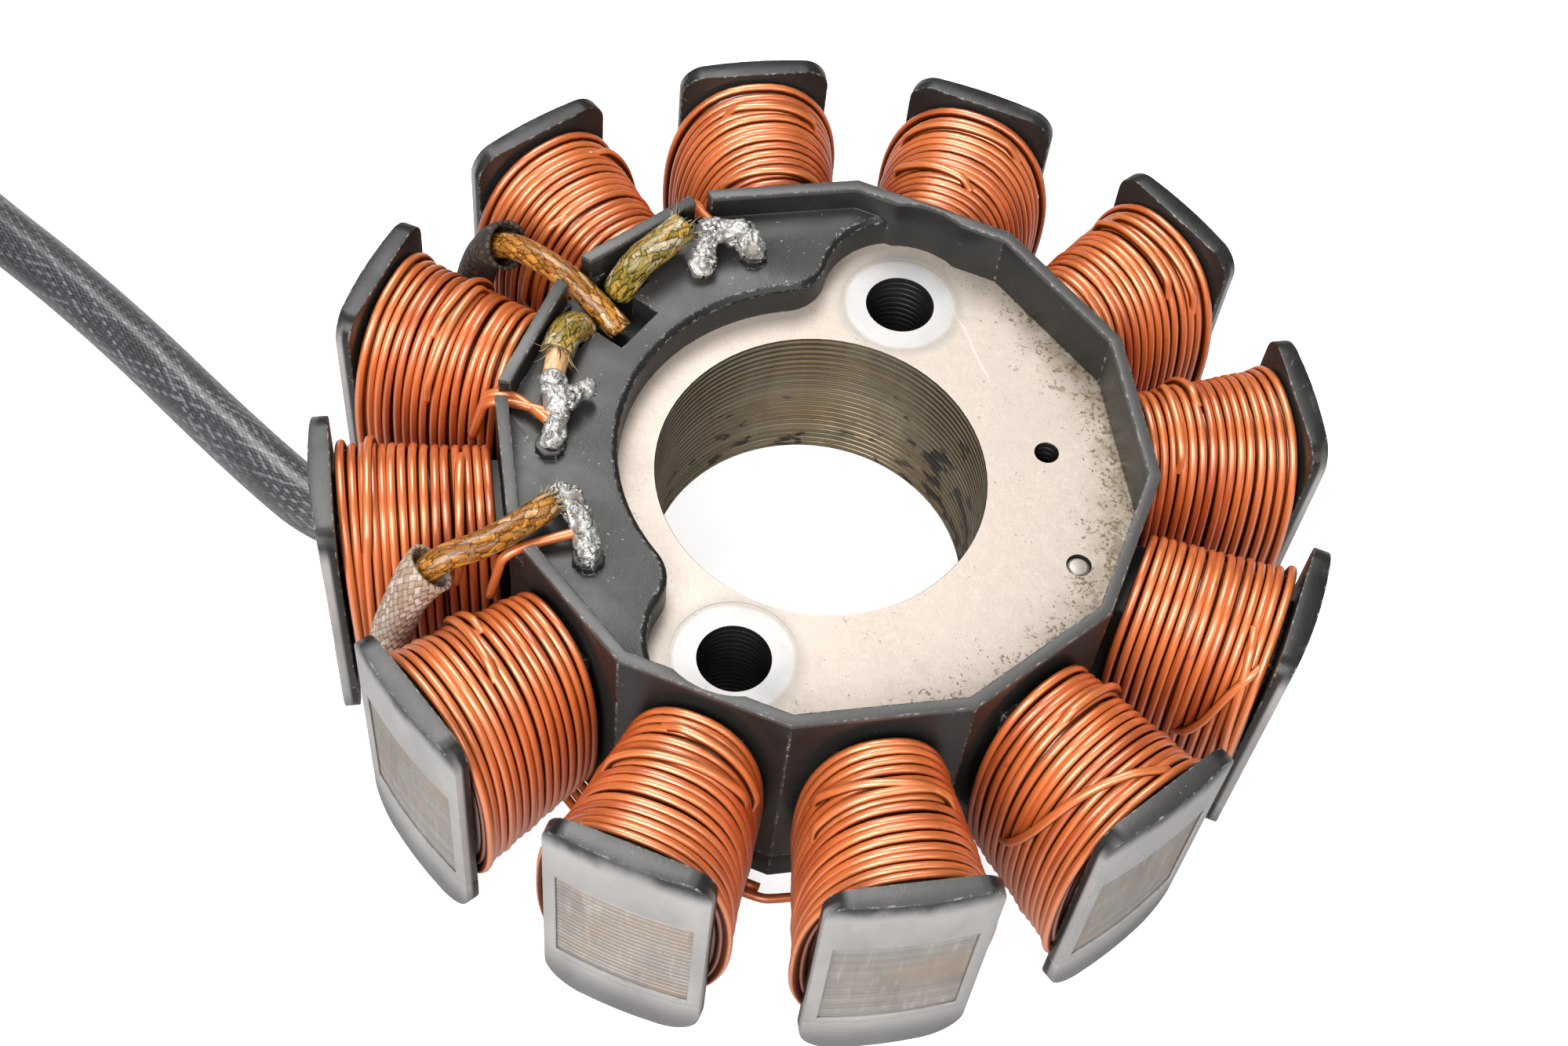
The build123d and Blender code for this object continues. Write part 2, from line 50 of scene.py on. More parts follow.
MM = 0.001
TOOTH_COUNT = 12
TOOTH_STEP = 30.0
PLATE_TOP = 25.8 * MM
CORE_BOTTOM = 7.4 * MM
CORE_MIDDLE = 16.6 * MM
SHEET = 0.8 * MM
DECK_TOP = 29.6 * MM
WELD = 2e-6
LEAD_GAP, CABLE_GAP, RETURN_GAP = 165.0, 195.0, 225.0
CABLE_START = 38.6
VECTOR, COLOR = "NodeSocketVector", "NodeSocketColor"

Points = np.ndarray
Mesh = bpy.types.Mesh
BMesh = bmesh.types.BMesh
Inputs = dict[str, object]
Color = tuple[float, float, float]
Spot = tuple[float, float, float]


class Graph:
    """Adds nodes to one node tree and joins them."""

    def __init__(self, tree: bpy.types.NodeTree) -> None:
        """Keeps the tree that the nodes go into."""
        self.tree = tree

    def feed(self, sockets: object, values: dict) -> None:
        """Joins inputs to other nodes, or sets their values.

        Args:
            sockets: A node's inputs.
            values: A node's output, a number or a colour for each, by name or number.
        """
        for name, value in values.items():
            if isinstance(value, Value):
                self.tree.links.new(value.socket, sockets[name])
            else:
                sockets[name].default_value = (*value, 1.0) if sockets[name].type == "RGBA" else value

    def add(self, kind: str, inputs: dict | None = None, **settings: object) -> bpy.types.Node:
        """Adds a node.

        Args:
            kind: Its type, without the "ShaderNode" prefix.
            inputs: What goes into its inputs, by name or number.
            **settings: Its own settings.

        Returns:
            The new node.
        """
        node = self.tree.nodes.new("ShaderNode" + kind)
        for name, value in settings.items():
            setattr(node, name, value)
        self.feed(node.inputs, inputs or {})
        return node

    def out(self, kind: str, inputs: dict | None = None, output: int | str = 0, **settings: object) -> "Value":
        """One output of a new node."""
        return Value(self, self.add(kind, inputs, **settings).outputs[output])

    def place(self) -> "Value":
        """The point's place in the object's own frame."""
        return self.out("TexCoord", output="Object")

    def stored(self, name: str) -> "Value":
        """A number stored on the mesh."""
        return self.out("Attribute", output="Fac", attribute_name=name)

    def bump(self, height: "Value", depth: float, strength: float) -> "Value":
        """The normal of a relief that is so many metres deep."""
        return self.out("Bump", {"Height": height, "Distance": depth, "Strength": strength})


class Value:
    """A node's output, with the nodes that can follow it."""

    def __init__(self, graph: Graph, socket: bpy.types.NodeSocket) -> None:
        """Keeps the output and its graph."""
        self.graph, self.socket = graph, socket

    def math(self, operation: str, *others: object) -> "Value":
        """The result of a Math node on this value and others."""
        return self.graph.out("Math", dict(enumerate((self, *others))), operation=operation)

    __add__ = partialmethod(math, "ADD")
    __sub__ = partialmethod(math, "SUBTRACT")
    __mul__ = partialmethod(math, "MULTIPLY")
    __truediv__ = partialmethod(math, "DIVIDE")
    __pow__ = partialmethod(math, "POWER")
    __abs__ = partialmethod(math, "ABSOLUTE")

    def __rsub__(self, other: float) -> "Value":
        """A number less this value."""
        return self.graph.out("Math", {0: other, 1: self}, operation="SUBTRACT")

    def reach(self, other: "Value") -> "Value":
        """The length of the vector that two numbers make."""
        return (self * self + other * other) ** 0.5

    def ramp(self, low: float, high: float, start: object = 0.0, end: object = 1.0) -> "Value":
        """Goes smoothly from start, where this value is low, to end, where it is high."""
        inputs = {"Value": self, "From Min": low, "From Max": high, "To Min": start, "To Max": end}
        return self.graph.out("MapRange", inputs, interpolation_type="SMOOTHSTEP")

    def mix(self, first: object, second: object) -> "Value":
        """Mixes two colours, with this value as the share of the second."""
        return self.graph.out("Mix", {0: self, 6: first, 7: second}, output=2, data_type="RGBA")

    def noise(self, scale: object, detail: float = 3.0, rough: float = 0.55) -> "Value":
        """A noise texture at this place."""
        inputs = {"Vector": self, "Scale": scale, "Detail": detail, "Roughness": rough}
        return self.graph.out("TexNoise", inputs)

    def chance(self) -> "Value":
        """A random number for each whole value."""
        return self.graph.out("TexWhiteNoise", {"W": self}, noise_dimensions="1D")

    def stretch(self, y: float, z: float) -> "Value":
        """This place, scaled along Y and Z."""
        return self.graph.out("VectorMath", {0: self, 1: (1.0, y, z)}, operation="MULTIPLY")

    def axes(self) -> list["Value"]:
        """The X, Y and Z of this place."""
        node = self.graph.add("SeparateXYZ", {0: self})
        return [Value(self.graph, socket) for socket in node.outputs]


Values = tuple[Value, ...]


class Effect:
    """A shader node group, built once and placed in each material with its own values."""

    name = ""
    takes: Inputs = {}
    gives: tuple[str, ...] = ()

    def wire(self, given: Named) -> Values:
        """Builds what the group does, from its inputs to its outputs."""
        raise NotImplementedError

    def tree(self) -> bpy.types.NodeTree:
        """Finds the group, or builds it.

        Returns:
            The group's node tree.
        """
        if self.name in bpy.data.node_groups:
            return bpy.data.node_groups[self.name]
        tree = bpy.data.node_groups.new(self.name, "ShaderNodeTree")
        for name, default in self.takes.items():
            kind = default if isinstance(default, str) else "NodeSocketFloat"
            made = tree.interface.new_socket(name=name, in_out="INPUT", socket_type=kind)
            if isinstance(default, float):
                made.default_value = default
        for name in self.gives:
            kind = COLOR if name == "Color" else "NodeSocketFloat"
            tree.interface.new_socket(name=name, in_out="OUTPUT", socket_type=kind)
        entry, leave = tree.nodes.new("NodeGroupInput"), tree.nodes.new("NodeGroupOutput")
        graph = Graph(tree)
        given = {name.lower(): Value(graph, entry.outputs[name]) for name in self.takes}
        graph.feed(leave.inputs, dict(zip(self.gives, self.wire(Named(**given)))))
        return tree

    def place(self, graph: Graph, **values: object) -> Named:
        """Places the group in a material.

        Args:
            graph: The material's graph.
            **values: What goes into the group's inputs.

        Returns:
            The group's outputs, by name.
        """
        inputs = {name.title(): value for name, value in values.items()}
        node = graph.add("Group", inputs, node_tree=self.tree())
        return Named(**{name.lower(): Value(graph, node.outputs[name]) for name in self.gives})


class EdgeWearAndGlints(Effect):
    """Pale marks along the edges that the mesh marks: partly scuffs, partly painted glints."""

    name = "edge_wear_and_glints"
    takes = {"Place": VECTOR, "Base": COLOR, "Worn": COLOR, "Edge": 0.0, "Amount": 0.5, "Scale": 400.0}
    gives = ("Color",)

    def wire(self, given: Named) -> Values:
        """Breaks the marked edges up with two noises.

        Args:
            given: The group's inputs.

        Returns:
            The colour with the pale edge marks.
        """
        broad = given.place.noise(given.scale, 4.0, 0.65)
        fine = given.place.noise(given.scale * 5.0, 2.0)
        mask = (broad * 0.7 + fine * 0.3 + given.amount * 0.2).ramp(0.5, 0.66)
        return ((mask * given.edge).mix(given.base, given.worn),)


class Specks(Effect):
    """Small spots of uneven size, gathered where a density says."""

    name = "specks"
    takes = {"Place": VECTOR, "Scale": 900.0, "Density": 0.5}
    gives = ("Mask",)

    def wire(self, given: Named) -> Values:
        """Cuts a fine noise at a level that follows the density.

        Args:
            given: The group's inputs.

        Returns:
            The spots' mask.
        """
        fine = given.place.noise(given.scale, 3.0, 0.6)
        patches = given.place.noise(given.scale * 0.16, 2.0)
        return ((fine + patches * 0.35 + given.density * 0.15).ramp(0.90, 0.97),)


class SheetLines(Effect):
    """The edges of the stacked sheets: a dark line between each two and a tone for each sheet."""

    name = "sheet_lines"
    takes = {"Height": 0.0, "Start": 0.0, "Pitch": SHEET, "Width": 0.2}
    gives = ("Line", "Tone", "Relief")

    def wire(self, given: Named) -> Values:
        """Counts sheets along the height.

        Args:
            given: The group's inputs.

        Returns:
            The line's mask, the sheet's own tone and its rounded relief.
        """
        count = (given.height - given.start) / given.pitch
        near = abs(count.math("FRACT") - 0.5) * 2.0
        line = (near - (1.0 - given.width)) / (given.width * 0.45)
        line = line.math("MAXIMUM", 0.0).math("MINIMUM", 1.0)
        return line, count.math("FLOOR").chance(), 1.0 - near**4.0


class Braid(Effect):
    """Strands that cross over and under round a tube."""

    name = "braid"
    takes = {"Around": 0.0, "Along": 0.0, "Strands": 12.0, "Pitch": 0.004}
    gives = ("Relief", "Gap", "Tone")

    def wire(self, given: Named) -> Values:
        """Crosses two families of slanted strands, with one above the other by turns.

        Args:
            given: The group's inputs.

        Returns:
            The relief, the gaps between strands, where the sleeving paints shade, and a tone for each strand.
        """
        turn, rise = given.around * given.strands, given.along / given.pitch
        ways = turn + rise, turn - rise
        bumps = [1.0 - (abs(way.math("FRACT") - 0.5) * 2.0) ** 3.0 for way in ways]
        left, right = (way.math("FLOOR") for way in ways)
        over = abs(left + right).math("MODULO", 2.0)
        under = 1.0 - over
        relief = bumps[1] * under + bumps[0] * over
        strand = left * over + right * under + over * 57.0
        return relief, relief.ramp(0.0, 0.75, 1.0, 0.0), strand.chance()


class Grain(Effect):
    """The fine relief and slight patches of a worn surface."""

    name = "grain"
    takes = {"Place": VECTOR, "Fine": 6000.0, "Broad": 120.0}
    gives = ("Relief", "Patch")

    def wire(self, given: Named) -> Values:
        """A fine and a broad noise."""
        return given.place.noise(given.fine, 2.0), given.place.noise(given.broad, 5.0, 0.6)


def shaded(color: Color, share: float) -> Color:
    """A colour with each channel multiplied, up to white."""
    return tuple(min(1.0, share * channel) for channel in color)


@dataclass(frozen=True)
class Finish:
    """A finish with its own material."""

    name: str
    color: Color
    rough: float = 0.4

    def wire(self, graph: Graph) -> Inputs:
        """Gives a plain surface a fine grain.

        Args:
            graph: The material's graph.

        Returns:
            The shader's inputs.
        """
        grain = Grain().place(graph, place=graph.place())
        return {
            "Base Color": grain.patch.mix(shaded(self.color, 0.6), self.color),
            "Roughness": self.roughness(grain.patch, 0.08, 0.08),
            "Normal": graph.bump(grain.relief, 0.02 * MM, 0.4),
        }

    def roughness(self, patch: Value, less: float, more: float) -> Value:
        """A roughness that follows a noise, from below the finish's own to above it."""
        return patch.ramp(0.3, 0.7, self.rough - less, self.rough + more)

    def material(self) -> bpy.types.Material:
        """Finds the finish's material, or builds it.

        Returns:
            The material.
        """
        if self.name in bpy.data.materials:
            return bpy.data.materials[self.name]
        made = bpy.data.materials.new(self.name)
        made.use_nodes = True
        made.node_tree.nodes.clear()
        graph = Graph(made.node_tree)
        shader = graph.add("BsdfPrincipled", {"Base Color": self.color, "Roughness": self.rough})
        graph.add("OutputMaterial", {"Surface": Value(graph, shader.outputs[0])})
        graph.feed(shader.inputs, self.wire(graph))
        return made


@dataclass(frozen=True)
class PlatedTop(Finish):
    """The plated top sheet: beige, with brown specks, stains and a bright ring round each bolt hole."""

    stain: Color = (0.17, 0.115, 0.06)
    haze: Color = (0.30, 0.24, 0.165)
    bright: Color = (0.565, 0.55, 0.54)
    dull: Color = (0.46, 0.46, 0.465)
    border: Color = (0.36, 0.34, 0.31)
    hole_reach: float = 22.5 * MM

    def wire(self, graph: Graph) -> Inputs:
        """Layers patches, specks, stains, a scratch and the rings.

        Args:
            graph: The material's graph.

        Returns:
            The shader's inputs.
        """
        place = graph.place()
        x, y, _ = place.axes()
        reach = x.reach(y)
        grain = Grain().place(graph, place=place, fine=9000.0, broad=90.0)
        tint = grain.patch.ramp(0.35, 0.65).mix(shaded(self.color, 0.90), self.color)
        mottle = place.noise(700.0, 5.0, 0.75).ramp(0.38, 0.62, 0.45, 0.0)
        tint = mottle.mix(tint, shaded(self.color, 0.80))
        grit = place.noise(3200.0, 3.0, 0.7).ramp(0.40, 0.60, 0.5, 0.0)
        tint = grit.mix(tint, shaded(self.color, 0.78))
        density = reach.ramp(22.5 * MM, 29.5 * MM) * x.ramp(-4.0 * MM, 20.0 * MM) * 0.8 + 0.2
        rim = reach.ramp(24.5 * MM, 29.9 * MM) * x.ramp(2.0 * MM, 20.0 * MM)
        rim = rim * place.noise(420.0, 4.0, 0.6).ramp(0.32, 0.62, 0.15, 0.9)
        tint = rim.mix(tint, self.haze)
        specks = Specks().place(graph, place=place, scale=2700.0, density=density * 1.25).mask
        specks = specks * density.ramp(0.0, 0.35, 0.3, 0.9)
        blots = Specks().place(graph, place=place, scale=800.0, density=density).mask
        blots = blots * density.ramp(0.1, 0.6, 0.0, 0.6)
        tint = specks.math("MAXIMUM", blots).mix(tint, self.stain)
        tint = self.scratch(place, x, y).mix(tint, shaded(self.color, 1.35))
        return {
            "Base Color": self.ringed(tint, x, y, grain.patch),
            "Metallic": 0.25,
            "Roughness": self.roughness(grain.patch, 0.05, 0.07),
            "Normal": graph.bump(grain.relief - specks * 0.8, 0.03 * MM, 0.5),
        }

    def scratch(self, place: Value, x: Value, y: Value) -> Value:
        """The thin pale scratch that runs from beside one bolt hole towards the wall.

        Args:
            place: The place on the plate.
            x: Its X.
            y: Its Y.

        Returns:
            The scratch's mask.
        """
        bend = (place.noise(150.0, 2.0) - 0.5) * (2.2 * MM)
        off = abs(x * 0.727 + y * 0.686 - 20.2 * MM + bend)
        run = y.ramp(16.2 * MM, 18.6 * MM) * y.ramp(24.2 * MM, 25.6 * MM, 1.0, 0.0)
        return off.ramp(0.05 * MM, 0.17 * MM, 0.55, 0.0) * run

    def ringed(self, tint: Value, x: Value, y: Value, patch: Value) -> Value:
        """Adds the bright ring that a bolt's flange has rubbed round each hole, with a grey border.

        Args:
            tint: The colour under the rings.
            x: The place along X.
            y: The place along Y.
            patch: A noise that breaks up the ring's edge.

        Returns:
            The colour with the rings.
        """
        from_hole = abs(y) - self.hole_reach
        reach = patch * (0.7 * MM) + x.reach(from_hole)
        border = reach.ramp(5.6 * MM, 6.1 * MM) * reach.ramp(6.2 * MM, 7.4 * MM, 1.0, 0.0)
        grey = patch.ramp(0.40, 0.60) * from_hole.ramp(-2.0 * MM, 4.0 * MM, 0.35, 0.9)
        ring = reach.ramp(5.6 * MM, 6.05 * MM, 0.92, 0.0)
        return ring.mix((border * 0.6).mix(tint, self.border), grey.mix(self.bright, self.dull))


@dataclass(frozen=True)
class SheetEdges(Finish):
    """The cut edges of the stacked sheets."""

    dark: Color = (0.10, 0.08, 0.06)
    warm: Color = (0.40, 0.24, 0.10)
    # Near-black colour of the dark blots.
    dark_blot: Color = (0.05, 0.046, 0.045)
    metal: float = 0.45
    streaks: float = 0.5
    blotted: float = 0.0
    warmth: float = 0.0
    line: float = 0.5
    width: float = 0.34

    def wire(self, graph: Graph) -> Inputs:
        """Gives each sheet its own tone, with streaks, warm stains and dark blots over them.

        Args:
            graph: The material's graph.

        Returns:
            The shader's inputs.
        """
        place = graph.place()
        x, _, height = place.axes()
        lines = SheetLines().place(graph, height=height, start=CORE_BOTTOM, pitch=SHEET, width=self.width)
        patch = place.stretch(1.0, 0.35).noise(260.0, 5.0, 0.65)
        scuff = place.stretch(1.0, 0.12).noise(1400.0, 3.0, 0.7)
        tint = (lines.tone * 0.45).mix(self.color, self.dark)
        tint = patch.ramp(0.42, 0.72, 0.0, self.streaks).mix(tint, self.dark)
        tint = scuff.ramp(0.5, 0.8, 0.0, self.streaks).mix(tint, shaded(self.color, 1.5))
        warm = place.stretch(1.0, 2.0).noise(75.0, 3.0, 0.5).ramp(0.46, 0.62, 0.0, self.warmth)
        tint = warm.mix(tint, self.warm)
        # Dark blots, more of them lower down the stack and towards +X.
        low = height.ramp(CORE_BOTTOM + 1.0 * MM, PLATE_TOP - 3.0 * MM, 0.07, -0.06)
        gathered = low + x.ramp(-2.0 * MM, 10.0 * MM, -0.05, 0.05)
        blot = place.stretch(1.0, 1.8).noise(330.0, 4.0, 0.6) + gathered
        tint = blot.ramp(0.60, 0.66, 0.0, self.blotted).mix(tint, self.dark_blot)
        line = lines.line * height.ramp(CORE_BOTTOM, PLATE_TOP, 0.45 * self.line, self.line)
        return {
            "Base Color": line.mix(tint, shaded(self.dark, 0.06)),
            "Metallic": self.metal,
            "Roughness": self.roughness(patch, 0.08, 0.1),
            "Normal": graph.bump(lines.relief + scuff * 0.25, 0.06 * MM, 0.6),
        }


@dataclass(frozen=True)
class Nylon(Finish):
    """The insulator's black moulding, with pale edges that are partly scuffs and partly painted glints, painted
    sheen on its tops and deck, and lighter grey outer faces.
    """

    # Pale grey for the scratches, and for the marked edges, which are partly scuffs and partly painted glints.
    worn: Color = (0.31, 0.305, 0.30)
    # Lighter grey for the heads' outer faces.
    rubbed: Color = (0.47, 0.453, 0.44)
    # Painted sheen: lighter grey on the top faces near the deck and on the front heads.
    top: Color = (0.085, 0.083, 0.078)
    # Painted sheen: a lighter colour on the deck's flat top.
    deck: Color = (0.045, 0.044, 0.041)
    dust: Color = (0.5, 0.48, 0.45)

    def wire(self, graph: Graph) -> Inputs:
        """Layers patches, scratches, pale edges that are partly scuffs and partly painted glints, painted sheen
        on the tops and the deck, and lighter grey outer faces.

        Args:
            graph: The material's graph.

        Returns:
            The shader's inputs.
        """
        place = graph.place()
        x, y, z = place.axes()
        reach = x.reach(y)
        grain = Grain().place(graph, place=place, fine=5200.0, broad=160.0)
        haze = place.stretch(1.0, 0.5).noise(150.0, 5.0, 0.65)
        under_top = (haze * (5.0 * MM) + z).ramp(31.6 * MM, 34.6 * MM, 1.0, 0.0)
        faces = reach.ramp(47.1 * MM, 47.5 * MM) * under_top
        tint = grain.patch.ramp(0.3, 0.75, 0.0, 0.6).mix(self.color, shaded(self.color, 1.7))
        near = reach.ramp(33.0 * MM, 34.5 * MM, 1.0, 0.0)
        # Painted sheen on the top faces near the deck and on the front heads.
        sheen_tops = near.math("MAXIMUM", y.ramp(-42.0 * MM, -12.0 * MM, 1.0, 0.0))
        tint = (z.ramp(31.9 * MM, 32.15 * MM, 0.0, 0.9) * sheen_tops).mix(tint, self.top)
        # Painted sheen: the deck's flat, upward-facing top takes the deck colour.
        facing = graph.out("NewGeometry", output="Normal").axes()[2]
        flat = abs(z - DECK_TOP).ramp(0.05 * MM, 0.3 * MM, 0.9, 0.0) * facing.ramp(0.7, 0.95)
        tint = (flat * near).mix(tint, self.deck)
        # The heads' outer faces turn lighter grey, darker towards the bottom and not in a band below the top
        # edge.
        low = z.ramp(1.5 * MM, 8.0 * MM, 0.8, 0.0)
        outer_faces_grey = faces * haze.ramp(0.25, 0.7, 0.75, 1.0)
        tint = outer_faces_grey.mix(tint, low.mix(self.rubbed, shaded(self.rubbed, 0.3)))
        scratches = place.stretch(0.25, 1.0).noise(1700.0, 2.0, 0.7)
        tint = scratches.ramp(0.70, 0.80, 0.0, 0.25).mix(tint, self.worn)
        # Pale edge marks: partly scuffs, partly painted glints.
        wear_and_glints = EdgeWearAndGlints().place(
            graph, place=place, base=tint, worn=self.worn, edge=graph.stored("edge"),
            amount=0.03, scale=1300.0
        )
        dust = Specks().place(graph, place=place, scale=2200.0, density=flat * 0.3).mask
        return {
            "Base Color": (dust * 0.6).mix(wear_and_glints.color, self.dust),
            "Roughness": faces * 0.1 + self.roughness(grain.patch, 0.06, 0.08),
            "Specular IOR Level": 0.38,
            "Normal": graph.bump(grain.relief + scratches * 0.6, 0.03 * MM, 0.4),
        }


@dataclass(frozen=True)
class Enamel(Finish):
    """Enamelled copper wire: deep orange metal under a clear gloss, with painted shade in the grooves between
    turns.
    """

    deep: Color = (0.55, 0.085, 0.009)
    pale: Color = (1.0, 0.38, 0.16)
    # Painted shade: near-black wire colour where each turn meets its neighbours, on the side that faces the
    # coil's inside.
    groove: Color = (0.07, 0.013, 0.001)

    def wire(self, graph: Graph) -> Inputs:
        """Varies the tone from turn to turn and along each turn, and paints shade into the grooves between
        turns.

        Args:
            graph: The material's graph.

        Returns:
            The shader's inputs.
        """
        place = graph.place()
        patch = place.noise(120.0, 2.0)
        tone = graph.stored("tone") * 0.6 + patch * 0.4
        tint = tone.ramp(0.2, 0.55).mix(self.deep, self.color)
        tint = tone.ramp(0.5, 0.9, 0.0, 0.5).mix(tint, self.pale)
        smudge = place.noise(500.0, 3.0, 0.6).ramp(0.64, 0.8, 0.0, 0.5)
        tint = smudge.mix(tint, shaded(self.deep, 0.5))
        # Painted shade in the grooves between turns: the wire's flanks and inner side take the dark groove
        # colour, with less gloss.
        groove = graph.stored("under").ramp(0.18, 0.48, 0.0, 0.93)
        return {
            "Base Color": groove.mix(tint, self.groove),
            "Metallic": 0.45,
            "Roughness": self.roughness(patch, 0.04, 0.05),
            "Specular IOR Level": groove * -0.5 + 0.5,
            "Coat Weight": 1.0 - groove,
            "Coat Roughness": 0.34,
            "Coat IOR": 2.05,
            "Normal": graph.bump(place.noise(900.0, 2.0), 0.04 * MM, 0.35),
        }


@dataclass(frozen=True)
class Sleeving(Finish):
    """A braided sleeve or jacket on a tube whose UV runs round it and along it in metres."""

    other: Color = (0.2, 0.12, 0.04)
    third: Color = (0.5, 0.4, 0.25)
    # Painted shade: the colour in the gaps between strands.
    gap: Color = (0.01, 0.01, 0.01)
    strands: float = 12.0
    pitch: float = 0.0035
    depth: float = 0.00025
    gloss: float = 0.0
    blotch: float = 0.5
    uneven: float = 0.25

    def wire(self, graph: Graph) -> Inputs:
        """Braids strands of three tones, paints shade into the gaps between them, and soaks them with varnish
        or dust.

        Args:
            graph: The material's graph.

        Returns:
            The shader's inputs.
        """
        place = graph.place()
        around, along, _ = graph.out("UVMap", uv_map="UVMap").axes()
        shift = place.noise(620.0, 3.0) - 0.5
        around = shift * (1.2 * self.uneven / self.strands) + around
        along = shift * (2.6 * self.uneven * self.pitch) + along
        weave = Braid().place(graph, around=around, along=along, strands=self.strands, pitch=self.pitch)
        soak = place.noise(330.0, 4.0, 0.6).ramp(0.35, 0.65, 0.0, self.blotch)
        tint = weave.tone.ramp(0.25, 0.6).mix(self.color, self.other)
        tint = soak.mix(weave.tone.ramp(0.7, 0.85).mix(tint, self.third), self.other)
        return {
            # Painted shade: the gaps between strands darken towards the shade colour.
            "Base Color": (weave.gap * 0.85).mix(tint, self.gap),
            "Roughness": soak.ramp(0.0, 0.6, self.rough, self.rough - 0.12),
            "Coat Weight": self.gloss,
            "Coat Roughness": 0.25,
            "Normal": graph.bump(weave.relief + place.noise(5200.0, 3.0) * 0.6, self.depth, 0.9),
        }


@dataclass(frozen=True)
class Solder(Finish):
    """Dull, lumpy solder with darker flux in patches."""

    flux: Color = (0.20, 0.17, 0.135)

    def wire(self, graph: Graph) -> Inputs:
        """Mottles the metal and roughens it.

        Args:
            graph: The material's graph.

        Returns:
            The shader's inputs.
        """
        place = graph.place()
        patch, fine = place.noise(700.0, 4.0, 0.6), place.noise(2600.0, 3.0, 0.6)
        return {
            "Base Color": patch.ramp(0.5, 0.64, 0.0, 0.8).mix(self.color, self.flux),
            "Metallic": patch.ramp(0.45, 0.6, 0.7, 0.2),
            "Roughness": self.roughness(fine, 0.1, 0.15),
            "Normal": graph.bump(fine + patch, 0.2 * MM, 0.8),
        }


PLATE = PlatedTop("plated_top", (0.64, 0.55, 0.47), 0.42)
CUT_EDGES = SheetEdges(
    "sheet_edges", (0.44, 0.405, 0.375), 0.42, dark=(0.27, 0.24, 0.21), streaks=0.6, warm=(0.45, 0.33, 0.25),
    warmth=0.5, line=0.3
)
BORE_WALL = SheetEdges(
    "bore_wall", (0.45, 0.365, 0.24), 0.36, dark=(0.17, 0.135, 0.08), metal=0.6, streaks=0.3, blotted=0.9,
    warmth=0.35, line=0.95, width=0.62
)
# Painted shade: the bolt holes' sheet edges in near black, for the shade inside the holes.
SHADED_HOLE_WALL = SheetEdges(
    "hole_wall_shade", (0.04, 0.037, 0.033), 0.45, dark=(0.015, 0.014, 0.012), metal=0.5, streaks=0.3,
    line=0.8, width=0.4
)
PIN_STEEL = SheetEdges("pin_steel", (0.50, 0.45, 0.39), 0.4, streaks=0.3)
NYLON = Nylon("black_nylon", (0.018, 0.018, 0.017), 0.32)
ENAMEL = Enamel("enamelled_copper", (0.92, 0.235, 0.045), 0.42)
# Painted shade: a darker copy of the enamel for the wire under the outer turns and for the coil's middle.
SHADED_INNER_WIRE = Enamel("shaded_inner_winding", (0.30, 0.05, 0.012), 0.4, deep=(0.10, 0.014, 0.004), pale=(0.4, 0.1, 0.03))
VARNISHED = Sleeving(
    "olive_braid", (0.70, 0.40, 0.07), 0.22, other=(0.30, 0.225, 0.02), third=(1.0, 0.86, 0.64),
    gap=(0.07, 0.04, 0.006), strands=11.0, pitch=0.002, depth=0.00055, gloss=1.0, blotch=0.7, uneven=1.0
)
AMBER = Sleeving(
    "amber_braid", (0.74, 0.29, 0.025), 0.22, other=(0.36, 0.13, 0.006), third=(1.0, 0.62, 0.26),
    gap=(0.035, 0.014, 0.002), strands=9.0, pitch=0.0024, depth=0.0004, gloss=1.0, blotch=0.7, uneven=1.0
)
GLASS_CLOTH = Sleeving(
    "glass_cloth", (0.66, 0.54, 0.46), 0.6, other=(0.42, 0.30, 0.21), third=(0.80, 0.73, 0.67),
    gap=(0.30, 0.20, 0.14), strands=20.0, pitch=0.0011, depth=0.00016, blotch=0.6
)
DARK_CLOTH = Sleeving(
    "dark_cloth", (0.07, 0.052, 0.04), 0.6, other=(0.035, 0.026, 0.02), third=(0.14, 0.11, 0.09),
    gap=(0.02, 0.015, 0.01), strands=20.0, pitch=0.0011, depth=0.00016, blotch=0.6
)
TAN_JACKET = Sleeving(
    "tan_jacket", (0.74, 0.43, 0.20), 0.42, other=(0.58, 0.26, 0.08), third=(0.84, 0.55, 0.31),
    gap=(0.52, 0.22, 0.07), strands=3.0, pitch=0.009, depth=0.00004, gloss=0.3, blotch=0.4
)
CABLE_BRAID = Sleeving(
    "black_braid", (0.045, 0.046, 0.05), 0.3, other=(0.07, 0.072, 0.08), third=(0.20, 0.205, 0.22),
    gap=(0.01, 0.01, 0.011), strands=46.0, pitch=0.0012, depth=0.00013, gloss=0.9, blotch=0.3
)
SOLDER = Solder("crumbled_solder", (0.60, 0.585, 0.56), 0.34)
FIBRE = Finish("loose_fibres", (0.56, 0.42, 0.22), 0.5)
TINNED = Solder("tinned_steel", (0.55, 0.55, 0.55), 0.35)
CONNECTOR_NYLON = Finish("housing_nylon", (0.035, 0.035, 0.037), 0.45)
BOOT_RUBBER = Finish("soft_rubber", (0.02, 0.02, 0.02), 0.6)


class Zone(Enum):
    """Which finish a face of the core takes."""

    PLATE = 0
    CUT_EDGES = 1
    BORE_WALL = 2
    SHADED_HOLE_WALL = 3


def linked(name: str, data: object) -> bpy.types.Object:
    """A new object in the scene.

    Args:
        name: Its name.
        data: Its mesh, curve, lamp or camera.

    Returns:
        The object.
    """
    made = bpy.data.objects.new(name, data)
    bpy.context.scene.collection.objects.link(made)
    return made


